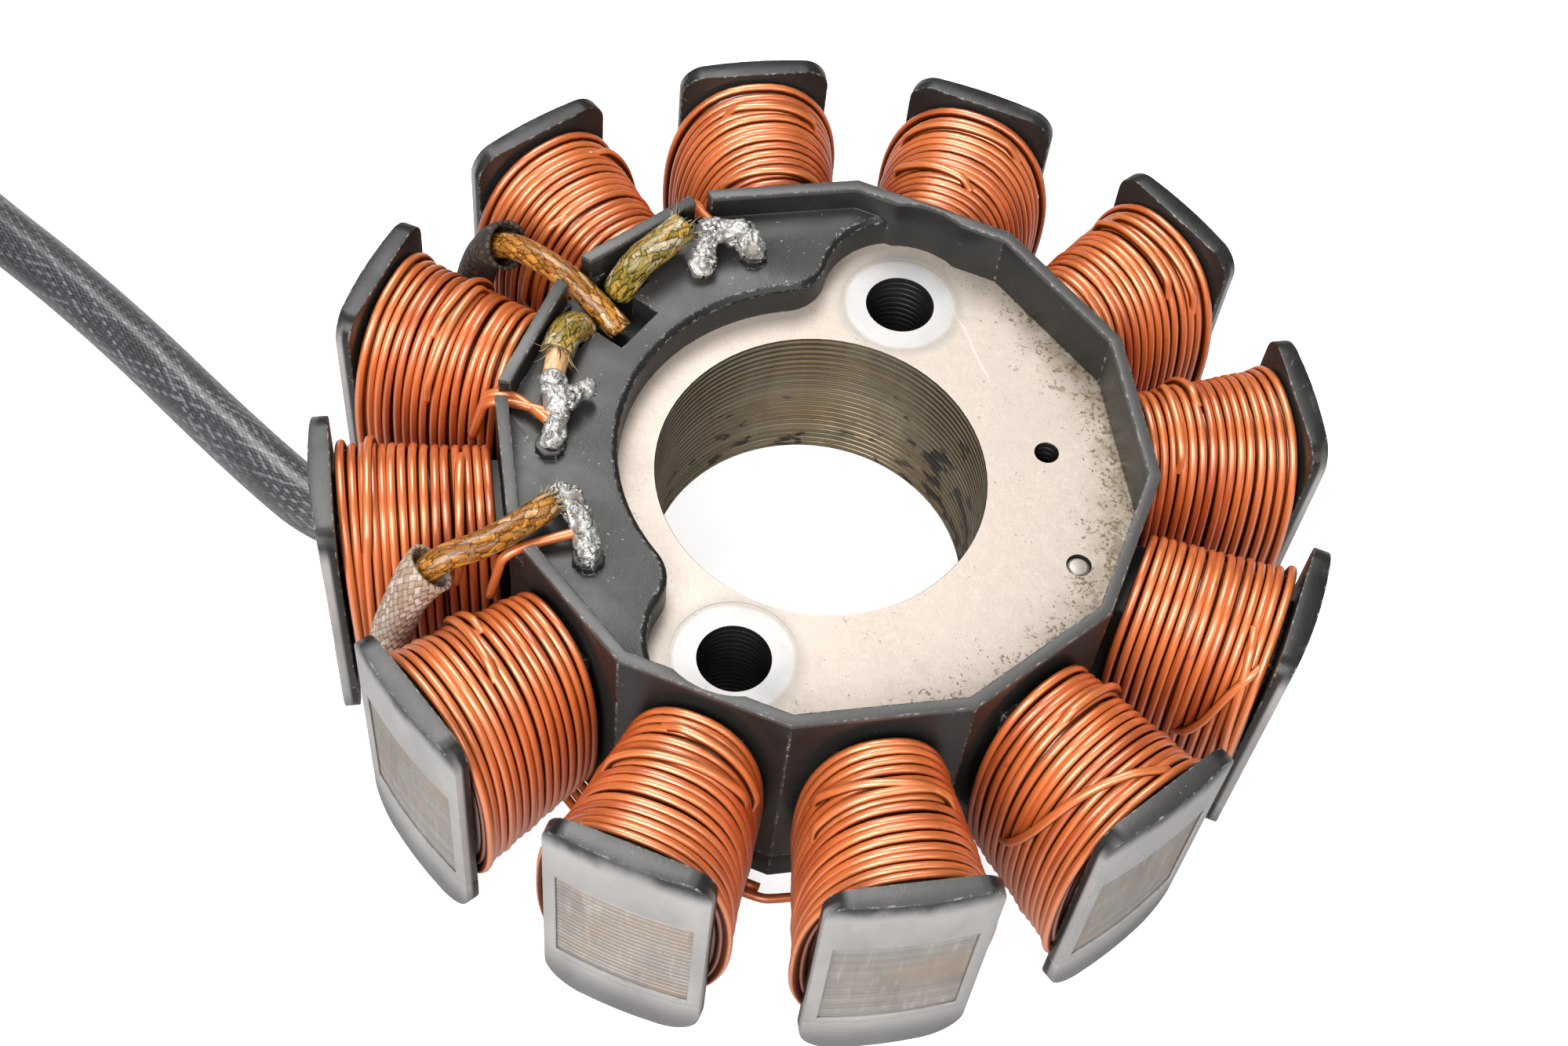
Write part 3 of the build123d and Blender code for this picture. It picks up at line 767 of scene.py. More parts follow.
def piece(name: str, mesh: Mesh, finishes: list[Finish], slot: str, *stands_for: str) -> bpy.types.Object:
    """Makes a piece of the object from a mesh.

    Args:
        name: The piece's name.
        mesh: Its mesh.
        finishes: Its finishes, in the order of the mesh's material numbers.
        slot: The record's material slot; not used.
        *stands_for: The CAD nodes that it replaces.

    Returns:
        The new object.
    """
    made = linked(name, mesh)
    for finish in finishes:
        mesh.materials.append(finish.material())
    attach(made, "root")
    if stands_for:
        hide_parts(*stands_for)
    log.info("%s: %d faces", name, len(mesh.polygons))
    return made


def unit(vectors: Points) -> Points:
    """Vectors brought to a length of one."""
    return vectors / np.linalg.norm(vectors, axis=-1, keepdims=True)


def circles(sides: int, across: Points, up: Points) -> Points:
    """Unit circles in the planes that pairs of directions make, as circle, place round it, axis."""
    angles = np.linspace(0.0, 2 * pi, sides, endpoint=False)[:, None]
    return np.cos(angles) * across[:, None] + np.sin(angles) * up[:, None]


def quads(count: int, sides: int) -> Points:
    """The faces between rings of points.

    Args:
        count: The number of rings.
        sides: The points in each.

    Returns:
        The four point numbers of each face.
    """
    index = np.arange(count * sides).reshape(count, sides)
    after = np.roll(index, -1, axis=1)
    return np.stack([index[:-1], after[:-1], after[1:], index[1:]], axis=-1).reshape(-1, 4)


def smooth_mesh(name: str, points: list, faces: list) -> Mesh:
    """A smoothly shaded mesh.

    Args:
        name: Its name.
        points: Its points.
        faces: The point numbers of each face.

    Returns:
        The mesh.
    """
    mesh = bpy.data.meshes.new(name)
    mesh.from_pydata(points, [], faces)
    mesh.shade_smooth()
    return mesh


def ring_mesh(name: str, rings: Points, capped: bool = True) -> Mesh:
    """Joins rings of points into a skin.

    Args:
        name: The mesh's name.
        rings: The points, as ring, place round the ring, axis.
        capped: Whether the two ends get a face.

    Returns:
        The mesh.
    """
    count, sides = rings.shape[:2]
    faces = quads(count, sides).tolist()
    if capped:
        last = (count - 1) * sides
        faces += [list(range(sides))[::-1], list(range(last, last + sides))]
    return smooth_mesh(name, rings.reshape(-1, 3).tolist(), faces)


def mark(mesh: Mesh, name: str, values: Points) -> None:
    """Stores a number at each point of a mesh."""
    attribute = mesh.attributes.new(name, "FLOAT", "POINT")
    attribute.data.foreach_set("value", values.astype(np.float32))


def smooth_route(points: list[Spot], steps: int = 12) -> Points:
    """Points along the smooth line that a route's control points shape.

    Args:
        points: The route's points, in metres.
        steps: How finely each span is read.

    Returns:
        The points along the line.
    """
    curve = bpy.data.curves.new("route", "CURVE")
    curve.dimensions = "3D"
    spline = curve.splines.new("NURBS")
    spline.points.add(len(points) - 1)
    for handle, point in zip(spline.points, points):
        handle.co = (*point, 1.0)
    spline.use_endpoint_u = True
    spline.order_u = 3
    spline.resolution_u = steps
    holder = linked("route", curve)
    bpy.context.view_layer.update()
    mesh = bpy.data.meshes.new_from_object(holder)
    line = np.array([vertex.co[:] for vertex in mesh.vertices])
    bpy.data.objects.remove(holder)
    bpy.data.meshes.remove(mesh)
    return line


def tube_mesh(name: str, line: Points, radius: float | Points, sides: int, capped: bool = True) -> Mesh:
    """A tube along a line, with UVs that run round it and along it in metres.

    Args:
        name: The mesh's name.
        line: The points that the tube follows.
        radius: Its radius, for all points or for each.
        sides: How many sides it has.
        capped: Whether its ends are closed.

    Returns:
        The tube's mesh.
    """
    steps = np.diff(line, axis=0)
    along = np.concatenate([[0.0], np.cumsum(np.linalg.norm(steps, axis=1))])
    heading = unit(np.vstack([steps[:1], steps[:-1] + steps[1:], steps[-1:]]))
    side = np.cross(heading[0], [0.0, 0.0, 1.0])
    if np.linalg.norm(side) < 0.1:
        side = np.cross(heading[0], [1.0, 0.0, 0.0])
    left = np.empty_like(heading)
    for number, way in enumerate(heading):
        side = unit(side - way * np.dot(side, way))
        left[number] = side
    sizes = np.broadcast_to(np.asarray(radius, float), (len(line),))
    circle = circles(sides, left, np.cross(heading, left))
    mesh = ring_mesh(name, line[:, None] + circle * sizes[:, None, None], capped)
    ring, turn = np.divmod(np.arange((len(line) - 1) * sides)[:, None], sides)
    layer = mesh.uv_layers.new(name="UVMap")
    places = np.empty(2 * len(mesh.loops))
    layer.data.foreach_get("uv", places)
    places[: 8 * len(ring) : 2] = ((turn + (0, 1, 1, 0)) / sides).ravel()
    places[1 : 8 * len(ring) : 2] = along[ring + (0, 0, 1, 1)].ravel()
    layer.data.foreach_set("uv", places)
    return mesh


def node_work(node: str) -> BMesh:
    """An editable copy of a CAD node, with its split points joined.

    Args:
        node: The CAD node.

    Returns:
        The copy.
    """
    work = bmesh.new()
    work.from_mesh(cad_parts[node].data)
    bmesh.ops.remove_doubles(work, verts=work.verts, dist=WELD)
    return work


def turning(edges: object, least: float) -> list[bmesh.types.BMEdge]:
    """The edges between two faces that turn by more than an angle in degrees."""
    return [e for e in edges if len(e.link_faces) == 2 and e.calc_face_angle(0.0) > radians(least)]


def softened(node: str, width: float) -> Mesh:
    """A copy of a CAD node with small rounded edges, the outer ones marked in the "edge" attribute.

    Args:
        node: The CAD node.
        width: The width of the rounding.

    Returns:
        The new mesh.
    """
    work = node_work(node)
    bmesh.ops.dissolve_limit(work, angle_limit=radians(1.0), verts=work.verts, edges=work.edges)
    sharp = turning(work.edges, 25.0)
    made = bmesh.ops.bevel(
        work, geom=sharp, offset=width, segments=2, profile=0.6, affect="EDGES", clamp_overlap=False
    )
    layer = work.loops.layers.float.new("edge")
    for face in made["faces"]:
        bends = [edge.is_convex for edge in turning(face.edges, 3.0)]
        if 2 * sum(bends) >= len(bends):
            for corner in face.loops:
                corner[layer] = 1.0
    bmesh.ops.triangulate(work, faces=[face for face in work.faces if len(face.verts) > 4])
    mesh = bpy.data.meshes.new(node + "_soft")
    work.to_mesh(mesh)
    work.free()
    mesh.shade_smooth()
    mesh.set_sharp_from_angle(angle=radians(32.0))
    return mesh


@dataclass
class LaminatedCore:
    """The stack of sheets with its poles, bore and holes."""

    sheets: int = 23
    groove: float = 0.07 * MM
    chamfer: float = 0.10 * MM
    mark_depth: float = 0.06 * MM
    bore_radius: float = 16.0 * MM

    def outlines(self, work: BMesh, level: float) -> tuple[list, list]:
        """Finds the faces of one end of the stack and the loops round them.

        Args:
            work: The CAD node's mesh.
            level: The end's height.

        Returns:
            The end's faces, and each loop as a list of vertices in order.
        """
        faces = [face for face in work.faces if all(abs(v.co.z - level) < self.mark_depth for v in face.verts)]
        inside = set(faces)
        follows = {}
        for face in faces:
            for corner in face.loops:
                if sum(other in inside for other in corner.edge.link_faces) == 1:
                    follows[corner.vert] = corner.link_loop_next.vert
        loops = []
        while follows:
            loop = [next(iter(follows))]
            while loop[-1] in follows:
                loop.append(follows.pop(loop[-1]))
            loops.append(loop[:-1])
        return faces, loops

    def inset(self, loop: Points) -> Points:
        """Directions into the steel at each point of a loop that keeps the steel on its left.

        Args:
            loop: The loop's points, in order.

        Returns:
            The mitred direction at each point.
        """
        ahead = unit(np.roll(loop, -1, axis=0) - loop)
        normal = np.stack([-ahead[:, 1], ahead[:, 0]], axis=1)
        before = np.roll(normal, 1, axis=0)
        length = np.maximum(1.0 + (normal * before).sum(axis=1), 0.4)
        return (normal + before) / length[:, None]

    def zone(self, loop: Points) -> Zone:
        """The finish of the wall along a loop, by the loop's size.

        Args:
            loop: The loop's points.

        Returns:
            The finish's zone.
        """
        reach = np.linalg.norm(loop - loop.mean(axis=0), axis=1).mean()
        if reach < 0.5 * self.bore_radius:
            return Zone.SHADED_HOLE_WALL
        return Zone.BORE_WALL if reach < 1.05 * self.bore_radius else Zone.CUT_EDGES

    def build(self) -> None:
        """Stacks the sheets on the CAD node's outline, with a groove between each two."""
        work = node_work("lamination_stack")
        points, faces, zones = [], [], []
        for level, order in ((PLATE_TOP, 1), (CORE_BOTTOM, -1)):
            ends, loops = self.outlines(work, level)
            number = {}
            for loop in loops:
                flat = np.array([vertex.co[:2] for vertex in loop])
                ways = self.inset(flat[::order])[::order]
                for vertex, way in zip(loop, ways):
                    number[vertex] = len(points)
                    points.append((*(np.array(vertex.co[:2]) + way * self.groove), vertex.co.z))
                if level == PLATE_TOP:
                    self.wall(points, faces, zones, flat, ways, loop[0].co.z)
            for face in ends:
                for vertex in face.verts:
                    if vertex not in number:
                        number[vertex] = len(points)
                        points.append(tuple(vertex.co))
                faces.append([number[vertex] for vertex in face.verts])
                zones.append(Zone.PLATE.value)
        work.free()
        mesh = smooth_mesh("core", points, faces)
        mesh.polygons.foreach_set("material_index", zones)
        mesh.set_sharp_from_angle(angle=radians(28.0))
        piece("core", mesh, [PLATE, CUT_EDGES, BORE_WALL, SHADED_HOLE_WALL], "plated_laminations", "lamination_stack")

    def wall(self, points: list, faces: list, zones: list, flat: Points, ways: Points, top: float) -> None:
        """Adds the grooved wall along one loop.

        Args:
            points: The mesh's points so far.
            faces: Its faces so far.
            zones: Their finishes so far.
            flat: The loop.
            ways: The directions into the steel.
            top: The height where the wall ends.
        """
        levels = [(CORE_BOTTOM, self.groove)]
        for sheet in range(self.sheets):
            low, high = CORE_BOTTOM + sheet * SHEET, CORE_BOTTOM + (sheet + 1) * SHEET
            levels += [(low + self.chamfer, 0.0), (high - self.chamfer, 0.0), (high, self.groove)]
        levels[-1] = (top, self.groove)
        made = (quads(len(levels), len(flat)) + len(points)).tolist()
        for height, depth in levels:
            points += [(*spot, height) for spot in (flat + ways * depth).tolist()]
        faces += made
        zones += [self.zone(flat).value] * len(made)


@dataclass
class Insulator:
    """The two mouldings round the core, and the small pieces beside them."""

    edge: float = 0.14 * MM

    def build(self) -> None:
        """Softens the mouldings' edges, and dresses the pins."""
        for side in ("upper", "lower"):
            mesh = softened(f"{side}_insulator", self.edge)
            piece(f"{side}_moulding", mesh, [NYLON], "insulator_nylon", f"{side}_insulator")
        piece("pin_of_stack", softened("stack_pin", 0.06 * MM), [PIN_STEEL], "steel_pin", "stack_pin")
        for number in (1, 2, 3):
            node = f"terminal_pin_{number}"
            piece(f"pin_{number}", softened(node, 0.08 * MM), [TINNED], "tinned_pin", node)


def eased(share: Points) -> Points:
    """Shares from 0 to 1 that start and end gently."""
    return share * share * (3 - 2 * share)


def curved(value: Points, power: float) -> Points:
    """A power that keeps the sign."""
    return np.sign(value) * np.abs(value) ** power


@dataclass
class Coil:
    """One wound coil: an outer layer of single turns over a winding and a middle in a darker copy of the
    enamel, as painted shade inside the coil.
    """

    number: int
    turns: int = 15
    inner_reach: float = 31.3 * MM
    outer_reach: float = 45.5 * MM
    inner_half: tuple[float, float] = (7.0 * MM, 14.1 * MM)
    outer_half: tuple[float, float] = (9.2 * MM, 14.7 * MM)
    power: float = 2.35
    wire: float = 0.445 * MM
    steps: int = 60
    sides: int = 8
    under_steps: int = 40
    under_sides: int = 6
    under_depth: float = 0.85 * MM
    crossing: float = 0.62
    wobble: float = 0.07 * MM
    middle_sides: int = 40
    middle: tuple = ((0.2, 6.0), (0.25, 1.3), (14.0, 1.3), (14.05, 6.0))
    strays: tuple = (
        (12, 0.47, 0.76, 44.6, 36.9), (1, 0.57, 0.75, 45.2, 39.6),
        (10, 0.36, 0.62, 35.2, 38.2), (11, 0.40, 0.64, 37.8, 34.2),
    )

    def depth(self, reach: Points) -> Points:
        """How far out along the coil a reach is, from 0 to 1."""
        return (reach - self.inner_reach) / (self.outer_reach - self.inner_reach)

    def half_sizes(self, reach: Points) -> list[Points]:
        """The coil's half width and half height at distances from the axis."""
        return [low + self.depth(reach) * (high - low) for low, high in zip(self.inner_half, self.outer_half)]

    def section(self, share: Points, reach: Points, sunk: Points) -> tuple[Points, Points]:
        """Points on the coil's rounded outline, evenly spaced round it.

        Args:
            share: The place round the outline, from 0 at the bottom's middle.
            reach: The distance from the rotor's axis.
            sunk: How far the point lies inside the outline.

        Returns:
            The points as reach, side, height, and the outline's outward directions.
        """
        table = np.linspace(-pi / 2, 1.5 * pi, 721)
        wide, tall = self.half_sizes(np.array([(self.inner_reach + self.outer_reach) / 2]))
        bend = 2.0 / self.power
        flat = np.stack([wide * curved(np.cos(table), bend), tall * curved(np.sin(table), bend)], axis=1)
        run = np.concatenate([[0.0], np.cumsum(np.linalg.norm(np.diff(flat, axis=0), axis=1))])
        angle = np.interp(share % 1.0, run / run[-1], table)
        half_wide, half_tall = (half - sunk for half in self.half_sizes(reach))
        y = half_wide * curved(np.cos(angle), bend)
        z = half_tall * curved(np.sin(angle), bend)
        out_y = curved(y / half_wide, self.power - 1) / half_wide
        out_z = curved(z / half_tall, self.power - 1) / half_tall
        outward = unit(np.stack([np.zeros_like(y), out_y, out_z], axis=1))
        return np.stack([reach, y, z], axis=1), outward

    def turn_places(self, turns: int, chance: np.random.Generator) -> Points:
        """Where each turn lies between the coil's ends, touching but for a few gaps.

        Args:
            turns: The number of turns.
            chance: The coil's own random numbers.

        Returns:
            The reach of each turn, with one more at the end.
        """
        free = (self.outer_reach - self.inner_reach) - 2 * self.wire * turns
        shares = chance.random(turns + 1) ** 3
        gaps = shares / shares.sum() * free
        gaps[0] += self.inner_reach + self.wire
        return np.arange(turns + 1) * 2 * self.wire + np.cumsum(gaps)

    def layer(self, turns: int, sunk: float, steps: int, seed: int) -> tuple[Points, Points, Points]:
        """The line of one layer's wire, wound from the inner end to the outer.

        Args:
            turns: The number of turns.
            sunk: How far the layer lies inside the outline.
            steps: The points in each turn.
            seed: The seed of its unevenness.

        Returns:
            The line's points, outward directions and tones.
        """
        chance = np.random.default_rng(seed)
        places = self.turn_places(turns, chance)
        along = np.arange(turns * steps + 1) / steps
        whole = np.minimum(along.astype(int), turns - 1)
        share = along - whole
        ease = eased(np.clip((share - self.crossing) / (1.0 - self.crossing), 0.0, 1.0))
        reach = places[whole] + (places[whole + 1] - places[whole]) * ease
        waves = chance.normal(0.0, 1.0, (turns + 1, 3))
        uneven = waves[whole] + (waves[whole + 1] - waves[whole]) * ease[:, None]
        angle = 2 * pi * share
        wobble = uneven[:, 0] * np.sin(angle) + uneven[:, 1] * np.cos(2 * angle)
        depth = self.depth(reach)
        fan = chance.uniform(0.06, 0.17) * chance.choice([-1.0, 1.0]) * (self.outer_reach - self.inner_reach)
        reach = reach + self.wobble * wobble + fan * depth * (1.0 - depth) * np.sin(angle)
        lift = np.maximum(uneven[:, 2] * self.wobble * 0.8, -0.5 * self.wobble)
        proud = sunk - lift - 0.30 * MM * (along > turns - 1) * (sunk < MM)
        reach = np.clip(reach, self.inner_reach + self.wire, self.outer_reach + 0.1 * MM)
        line, outward = self.section(share, reach, self.wire + proud)
        tones = chance.random(turns + 1)
        tone = 0.25 + 0.5 * (tones[whole] + (tones[whole + 1] - tones[whole]) * ease)
        return line, outward, tone

    def placed(self, points: Points) -> Points:
        """Turns points of the +X coil to this coil's own tooth.

        Args:
            points: The points.

        Returns:
            The turned points.
        """
        angle = radians(TOOTH_STEP * (self.number - 1))
        x, y, z = points[..., 0], points[..., 1], points[..., 2]
        turned = x * cos(angle) - y * sin(angle), x * sin(angle) + y * cos(angle)
        return np.stack([*turned, z + CORE_MIDDLE], axis=-1)

    def strand(self, name: str, line: Points, outward: Points, tone: Points, sides: int) -> Mesh:
        """The mesh of a wire, with its tone and how far each point faces the coil's inside, where the enamel
        paints shade.

        Args:
            name: The mesh's name.
            line: The wire's line.
            outward: Directions out of the coil.
            tone: The tone at each point.
            sides: The number of sides.

        Returns:
            The mesh.
        """
        heading = unit(np.gradient(line, axis=0))
        outward = unit(outward - heading * (outward * heading).sum(axis=1)[:, None])
        rings = line[:, None] + self.wire * circles(sides, outward, np.cross(heading, outward))
        mesh = ring_mesh(name, self.placed(rings))
        # How far each point faces the coil's inside; the enamel paints shade there.
        under = 0.5 - 0.5 * np.cos(np.linspace(0.0, 2 * pi, sides, endpoint=False))
        mark(mesh, "tone", np.repeat(tone, sides))
        mark(mesh, "under", np.tile(under, len(line)))
        return mesh

    def stray(self, place: int, start: float, end: float, near: float, far: float) -> None:
        """Lays a strand slantwise over the outer layer, easing in at both ends.

        Args:
            place: Which of the coil's stray strands it is.
            start: The place round the outline where it rises.
            end: The place where it dips in again.
            near: Its reach at the start.
            far: Its reach at the end.
        """
        way = np.linspace(0.0, 1.0, 50)
        ease = eased(np.clip(np.minimum(way, 1.0 - way) / 0.16, 0.0, 1.0))
        reach = near + (far - near) * (way + 0.06 * np.sin(2 * pi * way))
        line, outward = self.section(start + (end - start) * way, reach, self.wire * (1.1 - 1.75 * ease))
        name = f"stray_{self.number:02d}_{place}"
        mesh = self.strand(name, line, outward, np.full(len(way), 0.62), self.sides)
        piece(name, mesh, [ENAMEL], "enamelled_wire")

    def build(self) -> None:
        """Winds the outer layer, and the layer under it and the middle in a darker copy of the enamel, as
        painted shade.
        """
        number, node = f"{self.number:02d}", f"coil_{self.number:02d}"
        outer = self.layer(self.turns, 0.0, self.steps, 40 + self.number)
        mesh = self.strand(node + "_outer", *outer, self.sides)
        piece(f"winding_{number}", mesh, [ENAMEL], "enamelled_wire", node)
        chance = np.random.default_rng(700 + self.number)
        strays = [stray[1:] for stray in self.strays if stray[0] == self.number]
        for _ in range(2 - len(strays)):
            start, near = chance.uniform(0.26, 0.56), chance.uniform(33.5, 43.5)
            strays.append((start, start + chance.uniform(0.13, 0.24), near, near + chance.uniform(-1.9, 1.9)))
        for place, (start, end, near, far) in enumerate(strays, start=1):
            self.stray(place, start, end, near * MM, far * MM)
        # The layer under the outer turns, in the darker copy of the enamel as painted shade.
        under = self.layer(self.turns - 1, self.under_depth, self.under_steps, 90 + self.number)
        mesh = self.strand(node + "_inner", *under, self.under_sides)
        piece(f"underlayer_{number}", mesh, [SHADED_INNER_WIRE], "enamelled_wire")
        # The middle: a shell inside the coil, dark as painted shade.
        share = np.linspace(0.0, 1.0, self.middle_sides, endpoint=False)
        rings = []
        for out, sunk in self.middle:
            reach = np.full(len(share), self.inner_reach + out * MM)
            rings.append(self.placed(self.section(share, reach, sunk * MM)[0]))
        mesh = ring_mesh(node + "_middle", np.array(rings), capped=False)
        piece(f"middle_{number}", mesh, [SHADED_INNER_WIRE], "enamelled_wire")


def metres(*spots: Spot) -> list[Spot]:
    """Points that are given in millimetres."""
    return [tuple(value * MM for value in spot) for spot in spots]


def polar(*spots: tuple[float, ...]) -> list[Spot]:
    """Points given in millimetres by their reach, direction in degrees and level.

    Args:
        *spots: Each point's reach, direction and level, and how far it lies to the left.

    Returns:
        The points in metres.
    """
    made = []
    for reach, angle, level, *side in spots:
        a, b, left = radians(angle), radians(angle + 90.0), sum(side)
        made.append(((reach * cos(a) + left * cos(b)) * MM, (reach * sin(a) + left * sin(b)) * MM, level * MM))
    return made


def frayed_mesh(name: str, route: list[Spot], radius: float, length: float, count: int, seed: int) -> Mesh:
    """Tapered strands that stand off round the torn end of a braid.

    Args:
        name: The mesh's name.
        route: The braid's route.
        radius: The braid's radius.
        length: How far the longest strands stand out.
        count: The number of strands.
        seed: The seed of their places.

    Returns:
        The strands as one mesh.
    """
    chance = np.random.default_rng(seed)
    tip = np.array(route[-1])
    heading = unit(tip - np.array(route[-2]))
    side = unit(np.cross(heading, [0.0, 0.0, 1.0]))
    up = np.cross(side, heading)
    rings_each, sides = 6, 5
    share = np.linspace(0.0, 1.0, rings_each)[:, None]
    circle = circles(sides, side[None], up[None])
    points, faces = [], []
    for angle in chance.random(count) * 2 * pi:
        out = cos(angle) * side + sin(angle) * up
        bend = (out * chance.uniform(-0.2, 0.7) + chance.normal(0.0, 0.18, 3)) * length
        root = tip + out * radius * chance.uniform(0.6, 1.0)
        line = root + heading * length * (chance.uniform(0.4, 1.0) * share - 0.3) + bend * share**2
        rings = line[:, None] + circle * (chance.uniform(0.07, 0.16) * MM * (1.0 - 0.8 * share))[:, None]
        rings[..., 2] = np.minimum(rings[..., 2], tip[2] + 1.2 * MM)
        faces += (quads(rings_each, sides) + len(points)).tolist()
        points += rings.reshape(-1, 3).tolist()
    return smooth_mesh(name, points, faces)


@dataclass
class Wiring:
    """The crossover wires under the coils and the coil ends at the solder joints."""

    wire: float = 0.475 * MM
    crossover_apothem: float = 31.025
    lane: float = 1.0
    crossover_level: float = 1.975
    corner: float = 30.5 / cos(pi / TOOTH_COUNT)
    ends: tuple = (
        (135.0, 0.0, (-17.6, 19.3, 31.2)), (195.0, 0.0, (-24.3, -7.7, 31.0)),
        (225.0, 0.6, (-16.6, -18.5, 31.1)), (195.0, -1.0, (-24.2, -8.9, 30.9)),
    )

    def build(self) -> None:
        """Lays the crossover wires and the coil ends."""
        for number in range(3):
            reach = (self.crossover_apothem + number * self.lane) / cos(pi / TOOTH_COUNT)
            angles = [TOOTH_STEP * (number + step + 0.5) for step in range(9)]
            corners = polar(*((reach, angle, self.crossover_level) for angle in angles))
            line = []
            for first, last in zip(corners, corners[1:]):
                for share in (0.04, 0.35, 0.65, 0.96):
                    line.append(tuple(a + share * (b - a) for a, b in zip(first, last)))
            self.run(f"crossover_{number + 1}", line, f"crossover_wire_{number + 1}")
        for number, (angle, side, place) in enumerate(self.ends, start=1):
            bends = ((2.3, 24.0), (1.4, 27.5), (0.9, 30.0), (-2.1, 30.5))
            route = polar(*((self.corner + out, angle, level, side) for out, level in bends)) + metres(place)
            self.run(f"coil_end_{number}", route, *([f"coil_tail_{number}"] if number < 4 else []))

    def run(self, name: str, points: list[Spot], *stands_for: str) -> None:
        """Makes one bare run of enamelled wire.

        Args:
            name: The piece's name.
            points: Its route.
            *stands_for: The CAD nodes that it replaces.
        """
        mesh = tube_mesh(name, smooth_route(points, 8), self.wire, 10)
        mark(mesh, "tone", np.full(len(mesh.vertices), 0.55))
        piece(name, mesh, [ENAMEL], "enamelled_wire", *stands_for)


@dataclass
class Leads:
    """The leads with their sleeves, from the cable's end up to the solder joints."""

    radius: float = 1.3 * MM
    braid_radius: float = 1.64 * MM
    bare_radius: float = 1.1 * MM
    low_level: float = 3.85
    riser_reach: float = 44.1

    def riser(self, angle: float, side: float) -> list[Spot]:
        """The hidden way under the yoke and up between two pole heads.

        Args:
            angle: The slot's direction.
            side: Which side of the cable's end the lead leaves from.

        Returns:
            The route's points.
        """
        low, reach = self.low_level, self.riser_reach
        return polar(
            (CABLE_START, CABLE_GAP, 3.25, side * 1.4),
            (33.4, CABLE_GAP, low, side * 1.5),
            (27.8, CABLE_GAP, low, side * 1.6),
            (27.4, (CABLE_GAP + angle) / 2, low),
            (27.8, angle, low, -side * 1.2),
            (33.8, angle, low, -side * 0.2),
            (40.0, angle, low + 0.5),
            (reach, angle, low + 6.0),
            (reach, angle, 19.3),
            (41.8, angle, 27.0),
        )

    def build(self) -> None:
        """Makes both leads, their sleeves, the short braids on the deck and the frayed ends."""
        first = self.riser(LEAD_GAP, -1.0) + polar(
            (38.8, LEAD_GAP, 30.0), (34.6, LEAD_GAP, 31.0, 0.1),
            (29.4, LEAD_GAP, 30.7, 0.1), (24.4, LEAD_GAP, 28.0, 0.3),
        )
        second = self.riser(RETURN_GAP, 1.0) + polar((38.6, RETURN_GAP, 32.0), (33.0, RETURN_GAP, 33.0, 0.8))
        second += metres((-20.4, -17.8, 32.0))
        upper = polar((27.4, LEAD_GAP, 28.5, -3.1), (26.6, LEAD_GAP, 32.0, -4.5))
        upper += metres((-23.1, 13.9, 32.5), (-21.8, 17.0, 32.7))
        lower = polar((27.2, LEAD_GAP, 28.5, 3.1), (27.3, LEAD_GAP, 32.0, 4.7)) + metres((-27.0, -1.6, 31.6))
        bare = metres((-27.0, -1.0, 31.6), (-26.6, -2.8, 31.6), (-26.2, -4.3, 31.4))
        for name, route, radius, sides, finish, slot, node, cloth in (
            ("lead_1", first, self.radius, 20, AMBER, "lead_insulation", "lead_tube_1", DARK_CLOTH),
            ("lead_2", second, self.radius, 20, AMBER, "lead_insulation", "lead_tube_2", GLASS_CLOTH),
            ("braid_1", upper, self.braid_radius, 24, VARNISHED, "varnished_sleeving", "braid_sleeve_1", None),
            ("braid_2", lower, self.braid_radius, 24, VARNISHED, "varnished_sleeving", "braid_sleeve_2", None),
            ("bare_insulation", bare, self.bare_radius, 20, TAN_JACKET, "lead_insulation", "inner_lead", None),
        ):
            piece(name, tube_mesh(name, smooth_route(route), radius, sides), [finish], slot, node)
            if cloth:
                self.sleeve(name[-1], route, cloth)
        frays = ((upper, 1.45, 2.4, 34), (lower, 1.45, 1.9, 26), (second, 1.15, 2.2, 30))
        for number, (route, radius, length, count) in enumerate(frays, start=1):
            mesh = frayed_mesh(f"fray_{number}", route, radius * MM, length * MM, count, number)
            piece(f"fray_{number}", mesh, [FIBRE], "varnished_sleeving")

    def sleeve(self, number: str, route: list[Spot], finish: Finish) -> None:
        """A glass-fibre sleeve over the bend, open and a little flared at its mouth.

        Args:
            number: The lead's number.
            route: The lead's route.
            finish: The sleeve's finish.
        """
        line = smooth_route(route, 16)
        line = line[(line[:, 2] > 20.0 * MM) & (np.hypot(line[:, 0], line[:, 1]) > 38.9 * MM)]
        share = np.linspace(0.0, 1.0, len(line))
        outer = (1.95 + 0.55 * np.clip((share - 0.55) / 0.45, 0.0, 1.0)) * MM
        mesh = tube_mesh(f"sleeve_{number}", line, outer, 24, capped=False)
        made = piece(f"sleeve_{number}", mesh, [finish], "glass_sleeving", f"glass_sleeve_{number}")
        wall = made.modifiers.new("wall", "SOLIDIFY")
        wall.thickness = 0.35 * MM
        wall.offset = -1.0


